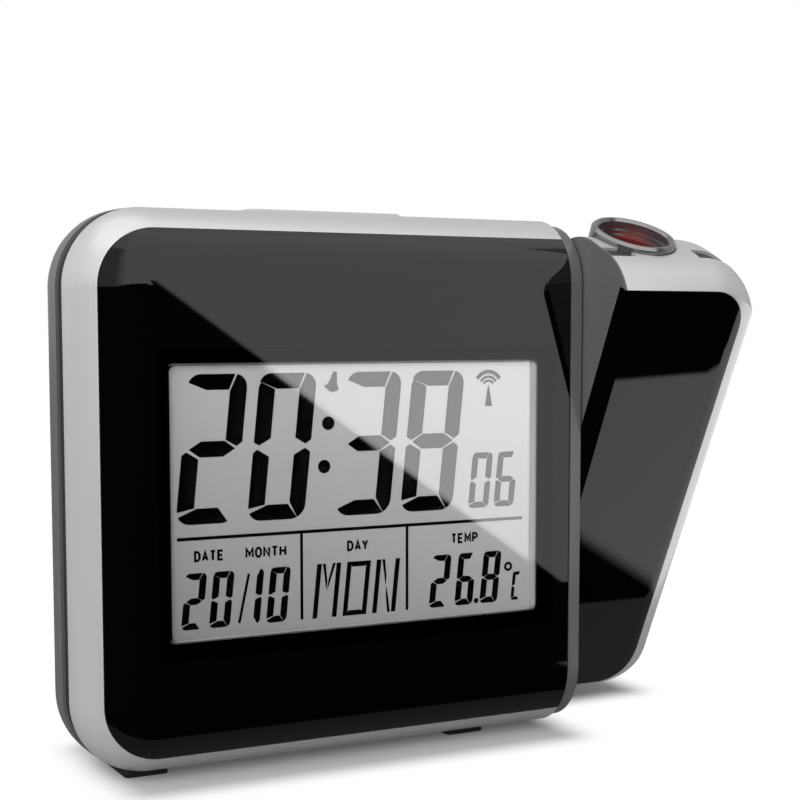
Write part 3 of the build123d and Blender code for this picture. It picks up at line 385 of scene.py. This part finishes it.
def clearArea(finish, grow=0.0):
    # 1 inside a rounded rectangle, where the distance to one that is smaller by the corner is under the corner
    x, y, z = finish.place()
    halfWidth = opening["width"] / 2 + grow
    halfHeight = opening["height"] / 2 + grow
    corner = opening["corner"]
    across = (abs(x - (opening["left"] + opening["width"] / 2)) - (halfWidth - corner)).most(0.0)
    upward = (abs(z - (opening["bottom"] + opening["height"] / 2)) - (halfHeight - corner)).most(0.0)
    return (across * across + upward * upward).power(0.5) < corner


def windowFinish():
    finish = Finish("frontWindow")
    black = finish.surface({"Base Color": windowLook["black"], "Roughness": windowLook["rough"],
                            "IOR": windowLook["lens"], "Coat Weight": 0.0})
    # clear plastic mirrors 4 % head on, plus the rest times the fifth power of facing, from either side
    facing = finish.node("LayerWeight", values={"Blend": 0.5}, out="Facing")
    mirror = facing.power(5.0) * (1 - windowLook["mirror"]) + windowLook["mirror"]
    gloss = finish.node("BsdfGlossy", values={"Color": gray(1.0), "Roughness": 0.0})
    clear = finish.mixed(mirror, finish.seeThrough(), gloss)
    outer = finish.mixed(clearArea(finish, opening["margin"]), black, clear)
    # the print sits on the inner face, which only shows through the clear part of the outer one
    blackPrint = finish.node("BsdfDiffuse", values={"Color": windowLook["black"]})
    inner = finish.mixed(clearArea(finish), blackPrint, finish.seeThrough())
    x, y, z = finish.place()
    behind = (y > windowFront + windowLook["innerFace"]) * clearArea(finish, opening["margin"])
    return finish.done(finish.mixed(behind, outer, inner))


dress(["front_window"], windowFinish())

maskLook = {"dark": gray(0.006), "light": gray(0.010), "rough": 0.7, "grain": 400.0, "clearance": 0.4}


def maskFinish():
    # matt print, left out over the clear area and a little round it
    finish = Finish("printedMask")
    tint = finish.blend(finish.noise(maskLook["grain"]), maskLook["dark"], maskLook["light"])
    ink = finish.surface({"Base Color": tint, "Roughness": maskLook["rough"]})
    return finish.done(finish.mixed(clearArea(finish, maskLook["clearance"]), ink, finish.seeThrough()))


dress(["window_mask"], maskFinish())

panelLook = {"border": 35.6, "rough": (0.015, 0.03), "grain": 80.0}  # the matt border ends at x border


def panelFinish():
    # glossy black with a matt printed border along its inner edge
    finish = Finish("armPanel")
    x, y, z = finish.place()
    rough = finish.between(finish.noise(panelLook["grain"]), *panelLook["rough"])
    glossy = finish.surface({"Base Color": windowLook["black"], "IOR": windowLook["lens"], "Roughness": rough})
    matt = finish.node("BsdfDiffuse", values={"Color": windowLook["black"]})
    return finish.done(finish.mixed(x > panelLook["border"], matt, glossy))


dress(["arm_panel"], panelFinish())

# display: low and high are its greys at the lower left and upper right, a painted light gradient, rise the
# upward share of the change
displayLook = {"low": gray(0.276), "high": gray(0.617), "rise": 0.587, "lens": 2.4, "rough": 0.02,
               "ink": gray(0.0008), "paleInk": gray(0.0016), "grain": 300.0}


def displayPaintedLightFinish():
    # grey glass with painted light, lighter towards its top and right; the mask behind the window keeps its
    # edges dark
    finish = Finish("displayGlassPaintedLight")
    x, y, z = finish.place()
    upward = (z - opening["bottom"]) / opening["height"]
    across = (x - opening["left"]) / opening["width"]
    share = finish.between(upward * displayLook["rise"] + across * (1 - displayLook["rise"]), 0.0, 1.0)
    # painted light: the grey grows lighter towards the top and right
    color = finish.blend(share, displayLook["low"], displayLook["high"])
    return finish.done(finish.surface({"Base Color": color, "IOR": displayLook["lens"],
                                       "Roughness": displayLook["rough"]}))


def inkFinish():
    finish = Finish("displayInk")
    tint = finish.blend(finish.noise(displayLook["grain"]), displayLook["ink"], displayLook["paleInk"])
    return finish.done(finish.surface({"Base Color": tint, "IOR": displayLook["lens"],
                                       "Roughness": displayLook["rough"]}))


dress(["lcd_glass"], displayPaintedLightFinish())
inkMaterial = inkFinish()


def newMesh(name, points, faces, material):
    # points in millimetres become an object in metres
    mesh = bpy.data.meshes.new(name)
    mesh.from_pydata((np.asarray(points, float) * mm).tolist(), [], faces)
    mesh.materials.append(material)
    made = bpy.data.objects.new(name, mesh)
    bpy.context.scene.collection.objects.link(made)
    return made


# plane of the figures: its corner, its scale, and how far behind the window's front it lies, before the glass
figures = {"left": -53.10, "bottom": 25.83, "scale": 1.0103, "depth": 2.75}
digitStyle = {"slant": 0.105, "upright": 0.285, "bar": 0.106, "gap": 0.03, "round": 0.2}
rowStyle = {**digitStyle, "upright": 0.33, "bar": 0.118}
bigDigit = {"base": 20.75, "width": 11.25, "height": 26.55, "pitch": 13.5}
smallDigit = {"base": 20.75, "width": 4.5, "height": 10.65, "pitch": 5.7}
dateDigit = {"base": 2.0, "width": 4.0, "height": 10.07, "pitch": 5.25}
heatDigit = {**dateDigit, "pitch": 5.6}
unitLetter = {"base": 2.1, "width": 2.1, "height": 5.55, "pitch": 0.0}
digitRows = [  # text, left edge, size, style
    ("20", 0.8, bigDigit, digitStyle),
    ("38", 31.8, bigDigit, digitStyle),
    ("06", 60.1, smallDigit, digitStyle),
    ("20", 1.6, dateDigit, rowStyle),
    ("10", 12.6, dateDigit, rowStyle),
    ("268", 51.5, heatDigit, rowStyle),
    ("C", 69.8, unitLetter, rowStyle),
]
digitCode = {"0": "abcdef", "1": "bc", "2": "abged", "3": "abgcd", "6": "afgedc", "8": "abcdefg", "C": "afed"}
weekday = {**dateDigit, "text": "MON", "left": 27.1, "width": 4.9, "pitch": 6.15, "stroke": 0.95}
weekdayCode = {"M": ("left", "right", "fall", "rise"), "O": ("left", "right", "top", "foot"),
               "N": ("left", "right", "fall", "drop")}
marks = {
    "dots": [((30.5, 37.98), 1.25), ((29.65, 30.05), 1.25), ((62.0, 2.6), 0.52)],
    "degree": {"centre": (69.25, 8.8), "outer": 0.95, "inner": 0.42, "start": 0, "end": 359.9},
    "rules": [(1.05, 72.4, 17.94, 18.54), (24.74, 25.30, 2.05, 17.94), (46.55, 47.11, 2.05, 17.94)],
    "dateStroke": [(12.4, 2.45), (12.92, 2.45), (14.89, 11.3), (14.37, 11.3)],
    "mast": [(63.8, 40.35), (65.4, 40.35), (64.65, 44.4), (64.5, 44.4)],
    "mastTop": {"centre": (64.57, 44.0), "start": 33, "end": 147},
    "waves": [(3.35, 2.6), (2.25, 1.75), (1.45, 1.05)],  # outer and inner radius
}


def arc(centre, radii, start, end, steps=7):
    # centre plus radii times cosine and sine, from one angle to the other, in degrees
    turn = np.radians(np.linspace(start, end, steps))
    return np.column_stack([centre[0] + radii[0] * np.cos(turn), centre[1] + radii[1] * np.sin(turn)])


def disc(centre, radius, steps=32):
    return arc(centre, (radius, radius), 0, 360 * (1 - 1 / steps), steps)


def bow(centre, outer, inner, start, end):
    # out along one arc and back along a smaller one
    away = arc(centre, (outer, outer), start, end, 13)
    back = arc(centre, (inner, inner), end, start, 13)
    return np.vstack([away, back])


def rule(left, right, low, high):
    return np.array([(left, low), (right, low), (right, high), (left, high)])


def slanted(points, left, base, slant):
    # across grows by slant for each millimetre of height
    return np.column_stack([points[:, 0] + left + slant * points[:, 1], points[:, 1] + base])


def digitSegments(width, height, style):
    # outlines of the seven segments a to g, upright, from the cell's lower left corner:
    # bars with mitred ends, a gap apart, and arcs at the corners of the digit
    w, h = width, height
    u, b = style["upright"] * w, style["bar"] * h
    g, r = style["gap"] * w, style["round"] * w
    m = h / 2
    top = h - b
    topLeft = arc((r, h - r), (r, r), 160, 90)
    topRight = arc((w - r * 1.15, h - r * 1.15), (r * 1.15, r * 1.15), 78, 0)
    footRight = arc((w - r * 1.2, r * 1.2), (r * 1.2, r * 1.2), 0, -62)
    footLeft = arc((r * 1.2, r * 1.15), (r * 1.2, r * 1.15), 208, 270)
    return {
        "a": np.vstack([topLeft, [(w - r - g * 0.6, h), (w - u - g * 0.6, top), (u + g, top)]]),
        "b": np.vstack([topRight, [(w, m + g * 3.3), (w - u / 3, m + g * 1.1), (w - u, m + g * 4.6),
                                   (w - u, top - g * 0.7)]]),
        "c": np.vstack([[(w - u, b + g), (w - u, m - g * 4.6), (w - u / 3, m - g * 1.1), (w, m - g * 3.3)],
                        footRight]),
        "d": np.vstack([footLeft, [(w - r * 1.1, 0), (w - r * 0.65, g * 0.8), (w - u - g, b),
                                   (u + g * 1.5, b)]]),
        "e": np.array([(g * 0.3, r), (0, r * 1.25), (0, m - g * 3.0), (u / 4, m - g * 1.2), (u, m - g * 5.2),
                       (u, b + g * 0.2)]),
        "f": np.array([(0, m + g * 2.6), (u / 3, m + g * 1.0), (u, m + g * 4.6), (u, top - g * 0.2),
                       (g * 1.1, h - r * 0.72), (0, h - r * 1.1)]),
        "g": np.array([(u / 3 + g * 0.5, m), (u + g * 0.6, m + b / 2), (w - u - g * 0.6, m + b / 2),
                       (w - u / 3 - g * 0.5, m), (w - u - g * 0.6, m - b / 2), (u + g * 0.6, m - b / 2)]),
    }


def digits(text, left, size, style):
    cell = digitSegments(size["width"], size["height"], style)
    shapes = []
    for i, letter in enumerate(text):
        start = left + i * size["pitch"]
        shapes += [slanted(cell[key], start, size["base"], style["slant"]) for key in digitCode[letter]]
    return shapes


def weekdayLetters(settings, slant):
    # letters made of straight bars and of slanting ones that meet in the middle
    w, h, s = settings["width"], settings["height"], settings["stroke"]
    bars = {
        "left": [(0, 0), (s, 0), (s, h), (0, h)],
        "right": [(w - s, 0), (w, 0), (w, h), (w - s, h)],
        "top": [(s * 1.2, h - s), (w - s * 1.2, h - s), (w - s * 0.6, h), (s * 0.6, h)],
        "foot": [(s * 0.6, 0), (w - s * 0.6, 0), (w - s * 1.2, s), (s * 1.2, s)],
        "fall": [(w / 2 - s * 0.1, h * 0.5), (w / 2 - s * 0.1, h * 0.68), (s * 1.8, h), (s * 1.2, h)],
        "rise": [(w / 2 + s * 0.1, h * 0.68), (w / 2 + s * 0.1, h * 0.5), (w - s * 1.2, h), (w - s * 1.8, h)],
        "drop": [(w - s * 1.8, 0), (w - s * 1.2, 0), (w / 2 + s * 0.1, h * 0.5), (w / 2 + s * 0.1, h * 0.32)],
    }
    shapes = []
    for i, letter in enumerate(settings["text"]):
        start = settings["left"] + i * settings["pitch"]
        for key in weekdayCode[letter]:
            shapes.append(slanted(np.array(bars[key]), start, settings["base"], slant))
    return shapes


def bellSkirt():
    # a tilted skirt under a round crown, closed below by a flat bow
    left = [(29.6, 44.9), (30.3, 45.1), (30.9, 45.9), (31.3, 46.9)]
    crown = arc((31.9, 47.0), (0.45, 0.45), 150, 10, 6)
    right = [(32.3, 46.2), (32.3, 45.2), (32.6, 44.3), (32.5, 43.85)]
    foot = arc((31.4, 44.3), (1.0, 0.6), -30, -130, 6)
    return np.vstack([left, crown, right, foot])


def onGlass(points):
    # a place on the display is the plane's corner plus the scaled place
    flat = np.asarray(points, float)
    depth = np.full(len(flat), windowFront + figures["depth"])
    return np.column_stack([figures["left"] + flat[:, 0] * figures["scale"], depth,
                            figures["bottom"] + flat[:, 1] * figures["scale"]])


def printPiece(name, points, faces):
    piece = newMesh(name, points, faces, inkMaterial)
    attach(piece, "clock")


def flatPiece(name, shapes):
    # every outline becomes one face, turned forwards by the sign of its area: twice that is the sum of
    # x times the next z, less the next x times z
    points, faces = [], []
    for shape in shapes:
        flat = np.asarray(shape)
        area = np.sum(flat[:, 0] * np.roll(flat[:, 1], -1) - np.roll(flat[:, 0], -1) * flat[:, 1])
        order = list(range(len(points), len(points) + len(flat)))
        faces.append(order if area > 0 else order[::-1])
        points.extend(onGlass(flat))
    printPiece(name, points, faces)


symbols = []
for row in digitRows:
    symbols += digits(*row)
symbols += weekdayLetters(weekday, digitStyle["slant"])
symbols += [disc(*dot) for dot in marks["dots"]]
symbols += [bow(**marks["degree"])]
symbols += [rule(*edges) for edges in marks["rules"]]
symbols += [marks["dateStroke"], marks["mast"]]
symbols += [bow(outer=outer, inner=inner, **marks["mastTop"]) for outer, inner in marks["waves"]]
symbols += [bellSkirt()]
flatPiece("displayFigures", symbols)
print("display figures:", len(symbols))

# small captions over the figures, from left to right edge; a letter is strokes through a unit square's points
captions = {"DATE": (4.2, 9.85), "MONTH": (13.95, 22.0), "DAY": (34.25, 38.65), "TEMP": (56.4, 62.3)}
captionStyle = {"height": 2.0, "base": 14.05, "stroke": 0.43, "gap": 0.2, "mitre": 0.45, "widths": {"M": 1.2}}
letterStrokes = {
    "A": [[(0, 0), (0.5, 1), (1, 0)], [(0.3, 0.3), (0.7, 0.3)]],
    "D": [[(0, 0), (0, 1), (0.6, 1), (1, 0.72), (1, 0.28), (0.6, 0), (0, 0)]],
    "E": [[(1, 1), (0, 1), (0, 0), (1, 0)], [(0.25, 0.5), (0.85, 0.5)]],
    "H": [[(0, 0), (0, 1)], [(1, 0), (1, 1)], [(0.2, 0.5), (0.8, 0.5)]],
    "M": [[(0, 0), (0, 1), (0.5, 0.3), (1, 1), (1, 0)]],
    "N": [[(0, 0), (0, 1), (1, 0), (1, 1)]],
    "O": [[(0, 0.3), (0, 0.7), (0.3, 1), (0.7, 1), (1, 0.7), (1, 0.3), (0.7, 0), (0.3, 0), (0, 0.3)]],
    "P": [[(0, 0), (0, 1), (0.7, 1), (1, 0.85), (1, 0.6), (0.7, 0.45), (0.25, 0.45)]],
    "T": [[(0, 1), (1, 1)], [(0.5, 0), (0.5, 0.86)]],
    "Y": [[(0, 1), (0.5, 0.45), (1, 1)], [(0.5, 0), (0.5, 0.36)]],
}


def strokeEdges(line, width):
    # both edges of a stroke: each point moves along the mitre of its two neighbours, by half the width over
    # the cosine between the mitre and the stroke's own normal
    line = np.asarray(line, float)
    along = np.diff(line, axis=0)
    along /= np.linalg.norm(along, axis=1)[:, None]
    closed = np.allclose(line[0], line[-1])
    before = np.vstack([along[-1] if closed else along[0], along])
    after = np.vstack([along, along[0] if closed else along[-1]])
    normal = after[:, ::-1] * (-1, 1)
    mitre = before[:, ::-1] * (-1, 1) + normal
    mitre /= np.linalg.norm(mitre, axis=1)[:, None]
    spread = width / 2 / np.maximum(np.sum(mitre * normal, axis=1), captionStyle["mitre"])
    return np.vstack([line + mitre * spread[:, None], line - mitre * spread[:, None]])


def captionPiece(text, left, right):
    # the letters share the room between the edges by their widths, and each stroke is a chain of quads
    stroke, gap = captionStyle["stroke"], captionStyle["gap"]
    shares = np.array([captionStyle["widths"].get(letter, 1.0) for letter in text])
    widths = shares / shares.sum() * (right - left - gap * (len(text) - 1))
    starts = left + np.concatenate([[0.0], np.cumsum(widths + gap)[:-1]])
    points, faces = [], []
    for letter, start, width in zip(text, starts, widths):
        size = (width - stroke, captionStyle["height"] - stroke)
        corner = (start + stroke / 2, captionStyle["base"] + stroke / 2)
        for line in letterStrokes[letter]:
            upper, count = len(points), len(line)
            lower = upper + count
            points.extend(onGlass(strokeEdges(np.array(line) * size + corner, stroke)))
            faces += [(lower + i, lower + i + 1, upper + i + 1, upper + i) for i in range(count - 1)]
    printPiece("caption_" + text, points, faces)


for word, (start, end) in captions.items():
    captionPiece(word, start, end)
print("captions:", len(captions))

# projector optics: the lens and the diode glow red; the diode is the lamp, and the lens's glow is painted
# light standing in for the diode's light shining through it
redPieces = {
    # the lens's glow is painted: it stands in for the diode's light coming through it
    "redLensPaintedGlow": {"color": (0.25, 0.005, 0.005, 1.0), "glow": 1.0, "nodes": ["objective_lens"]},
    "redDiode": {"color": (0.5, 0.01, 0.01, 1.0), "glow": 1.5, "nodes": ["projector_led"]},
}
redGlow = {"deep": (1.0, 0.02, 0.015, 1.0), "bright": (1.0, 0.05, 0.03, 1.0), "lens": 1.15, "rough": 0.05,
           "grain": 200.0}
# the ridges' red cast is painted light from the diode, on a dark skin
ridgeLookPaintedRed = {"color": (0.08, 0.006, 0.006, 1.0), "rough": (0.35, 0.5), "grain": 900.0}
clearLook = {"color": gray(0.95), "lens": 1.5, "rough": (0.01, 0.03), "grain": 100.0}


def redFinish(name, look):
    finish = Finish(name)
    return finish.done(finish.surface({
        "Base Color": look["color"],
        "Roughness": redGlow["rough"],
        "IOR": redGlow["lens"],
        "Emission Color": finish.blend(finish.noise(redGlow["grain"]), redGlow["deep"], redGlow["bright"]),
        "Emission Strength": look["glow"],
    }))


def ridgedBlackPaintedRed():
    # the ridges inside the objective cell are solid; their skin is dark, and its red cast is painted light
    # from the red diode
    finish = Finish("ridgedBlackPaintedRed")
    rough = finish.between(finish.noise(ridgeLookPaintedRed["grain"]), *ridgeLookPaintedRed["rough"])
    return finish.done(finish.surface({"Base Color": ridgeLookPaintedRed["color"], "IOR": redGlow["lens"],
                                       "Roughness": rough}))


def clearLens():
    finish = Finish("clearLens")
    rough = finish.between(finish.noise(clearLook["grain"]), *clearLook["rough"])
    return finish.done(finish.surface({"Base Color": clearLook["color"], "Transmission Weight": 1.0,
                                       "IOR": clearLook["lens"], "Roughness": rough}))


for name, look in redPieces.items():
    dress(look["nodes"], redFinish(name, look))
dress(["objective_cell"], ridgedBlackPaintedRed())
dress(["condenser_lens"], clearLens())
print("projector optics dressed")

# studio floor: over the shadow distances its colour turns from a painted shadow grey to floor colour, and lift
# is how white it starts
studio = {"floor": gray(0.80), "paintedShadowGray": gray(0.46), "rough": 0.9, "specular": 0.1, "reach": 6000.0,
          "world": 0.5, "lift": 0.08, "shadow": (0.0, 11.0)}
footprints = {"body": (-58.0, 27.0, -15.5, 17.0), "arm": (37.0, 61.0, 12.0, 40.0)}  # left, right, front, back
# the floor in mirror-like faces: a lit patch to the right of x left, behind a bent front edge and before a
# slanting back edge; close to the clock the floor shows a little, further back and brighter beside it
patch = {"light": 1.25, "left": 67.0, "front": -80.0, "drift": -0.065, "corner": (131.0, -0.4),
         "frontSoft": 1.0, "back": (76.0, -23.5), "backNormal": (0.687, -0.726), "soft": 6.5}
closeFloor = {"light": 0.12, "beside": 0.08, "turn": (40.0, 50.0), "further": 9.0, "front": (-22.0, -21.0)}


def gapTo(x, y, edges):
    # distance to a rectangle: the root of both overhangs squared, and 0 inside it
    left, right, front, back = edges
    beside = (abs(x - (left + right) / 2) - (right - left) / 2).most(0.0)
    before = (abs(y - (front + back) / 2) - (back - front) / 2).most(0.0)
    return (beside * beside + before * before).power(0.5)


def paleFloor(finish, x, y):
    # white to the eye, except close to the clock, where its own shade and contact shadow show, deepened by a
    # painted shadow in its colour
    gap = gapTo(x, y, footprints["body"]).least(gapTo(x, y, footprints["arm"]))
    away = finish.softStep(gap, *studio["shadow"])
    # painted shadow: the floor's colour is darker close to the footprints of the clock and arm at rest
    look = finish.surface({"Base Color": finish.blend(away, studio["paintedShadowGray"], studio["floor"]),
                           "Roughness": studio["rough"], "Specular IOR Level": studio["specular"]})
    seen = finish.node("LightPath", out="Is Camera Ray")
    white = finish.glow(gray(1.0), 1.0)
    return finish.mixed(seen * (away * (1 - studio["lift"]) + studio["lift"]), look, white)


def mirroredFloor(finish, x, y):
    # lit times three soft edges, or the close floor where that is brighter; the rest is dark
    half = patch["soft"] / 2
    turnX, turnSlope = patch["corner"]
    frontEdge = (x - turnX) * patch["drift"] + (x - turnX).most(0.0) * turnSlope + patch["front"]
    backX, backY = patch["back"]
    normalX, normalY = patch["backNormal"]
    backEdge = (x - backX) * normalX + (y - backY) * normalY
    lit = finish.softStep(x, patch["left"] - half, patch["left"] + half) \
        * finish.softStep(y - frontEdge, -patch["frontSoft"], patch["frontSoft"]) \
        * finish.softStep(backEdge, -half, half)
    beyond = finish.softStep(x, *closeFloor["turn"])
    close = finish.softStep(y - beyond * closeFloor["further"], *closeFloor["front"])
    level = lit.most(close * (beyond * closeFloor["beside"] + closeFloor["light"]))
    return finish.mixed(level, finish.glow(gray(0.0), 1.0), finish.glow(gray(1.0), patch["light"]))


def makeFloor():
    finish = Finish("floor")
    x, y, z = finish.place()
    gloss = finish.node("LightPath", out="Is Glossy Ray")
    material = finish.done(finish.mixed(gloss, paleFloor(finish, x, y), mirroredFloor(finish, x, y)))
    reach = studio["reach"]
    corners = [(-reach, -reach, 0), (reach, -reach, 0), (reach, reach, 0), (-reach, reach, 0)]
    newMesh("floor", corners, [(0, 1, 2, 3)], material)


# upright cards that only mirror-like faces see, along a path on the floor; light is how bright they are
cards = {
    "whiteCard": {
        "light": 1.4, "path": [(-215.0, -176.45), (420.0, -176.45)], "bottom": 0.6, "top": 900.0,
        "fade": 95.0,
        "edge": {"from": (4.8, 90.6), "slope": -0.698, "highest": (98.8, -0.027), "soft": 0.9},
        "side": {"from": (141.0, 100.0), "slope": 0.35, "soft": 2.0},
    },
    "blackCard": {
        "light": 0.0, "path": [(-100.0, -500.0), (1400.0, -500.0)], "bottom": 0.6, "top": 700.0,
    },
    "lowBlackCard": {
        "light": 0.0, "path": [(-99.0, -501.0), (-900.0, -501.0), (-900.0, 500.0)],
        "bottom": 0.6, "top": 120.0,
    },
}


def cardShown(finish, settings):
    # 1 above the lower of two lines, faded in from the left, and left of an end that slants above a height
    edge, side = settings["edge"], settings["side"]
    x, y, z = finish.place()
    falling = (x - edge["from"][0]) * edge["slope"] + edge["from"][1]
    level = x * edge["highest"][1] + edge["highest"][0]
    ending = (z - side["from"][1]).most(0.0) * side["slope"] + side["from"][0]
    start = settings["path"][0][0]
    return finish.softStep(z - falling.least(level), -edge["soft"], edge["soft"]) \
        * finish.softStep(x, start, start + settings["fade"]) \
        * finish.softStep(ending - x, -side["soft"], side["soft"])


def makeCard(name, settings):
    # one upright quad for each run of the path; with an edge the card is see-through below it
    finish = Finish(name)
    shine = finish.glow(gray(1.0), settings["light"])
    if "edge" in settings:
        shine = finish.mixed(cardShown(finish, settings), finish.seeThrough(), shine)
    path = settings["path"]
    points = [(x, y, settings[level]) for x, y in path for level in ("bottom", "top")]
    faces = [(2 * i, 2 * i + 2, 2 * i + 3, 2 * i + 1) for i in range(len(path) - 1)]
    card = newMesh(name, points, faces, finish.done(shine))
    card.visible_camera = card.visible_diffuse = card.visible_shadow = card.visible_transmission = False


def makeWorld():
    # white to the camera, a weaker even light for everything else
    world = bpy.data.worlds.new("studio")
    bpy.context.scene.world = world
    world.use_nodes = True
    tree = world.node_tree
    tree.nodes.clear()
    path = tree.nodes.new("ShaderNodeLightPath")
    mix = tree.nodes.new("ShaderNodeMixShader")
    out = tree.nodes.new("ShaderNodeOutputWorld")
    tree.links.new(path.outputs["Is Camera Ray"], mix.inputs[0])
    for slot, strength in ((1, studio["world"]), (2, 1.0)):
        light = tree.nodes.new("ShaderNodeBackground")
        light.inputs["Color"].default_value = gray(1.0)
        light.inputs["Strength"].default_value = strength
        tree.links.new(light.outputs[0], mix.inputs[slot])
    tree.links.new(mix.outputs[0], out.inputs["Surface"])


# soft lamps, in metres and watts; mirrored is whether glossy faces show them
lamps = {
    "overhead": {"place": (-0.1, -0.1, 0.9), "aim": (0, 0, 0.05), "size": (1.4, 1.0), "power": 3.2,
                 "mirrored": True},
    "leftFront": {"place": (-0.7, -0.5, 0.5), "aim": (0, 0, 0.05), "size": (0.8, 0.8), "power": 8.6,
                  "mirrored": False},
}


def softbox(name, settings):
    # a rectangle lamp turned so that it shines from its place to its aim
    data = bpy.data.lights.new(name, "AREA")
    data.shape = "RECTANGLE"
    data.size, data.size_y = settings["size"]
    data.energy = settings["power"]
    lamp = bpy.data.objects.new(name, data)
    lamp.location = settings["place"]
    lamp.rotation_mode = "QUATERNION"
    lamp.rotation_quaternion = (Vector(settings["aim"]) - Vector(settings["place"])).to_track_quat("-Z", "Y")
    lamp.visible_camera = False
    lamp.visible_glossy = settings["mirrored"]
    bpy.context.scene.collection.objects.link(lamp)


makeFloor()
makeWorld()
for name, settings in cards.items():
    makeCard(name, settings)
for name, settings in lamps.items():
    softbox(name, settings)
print("studio lit")
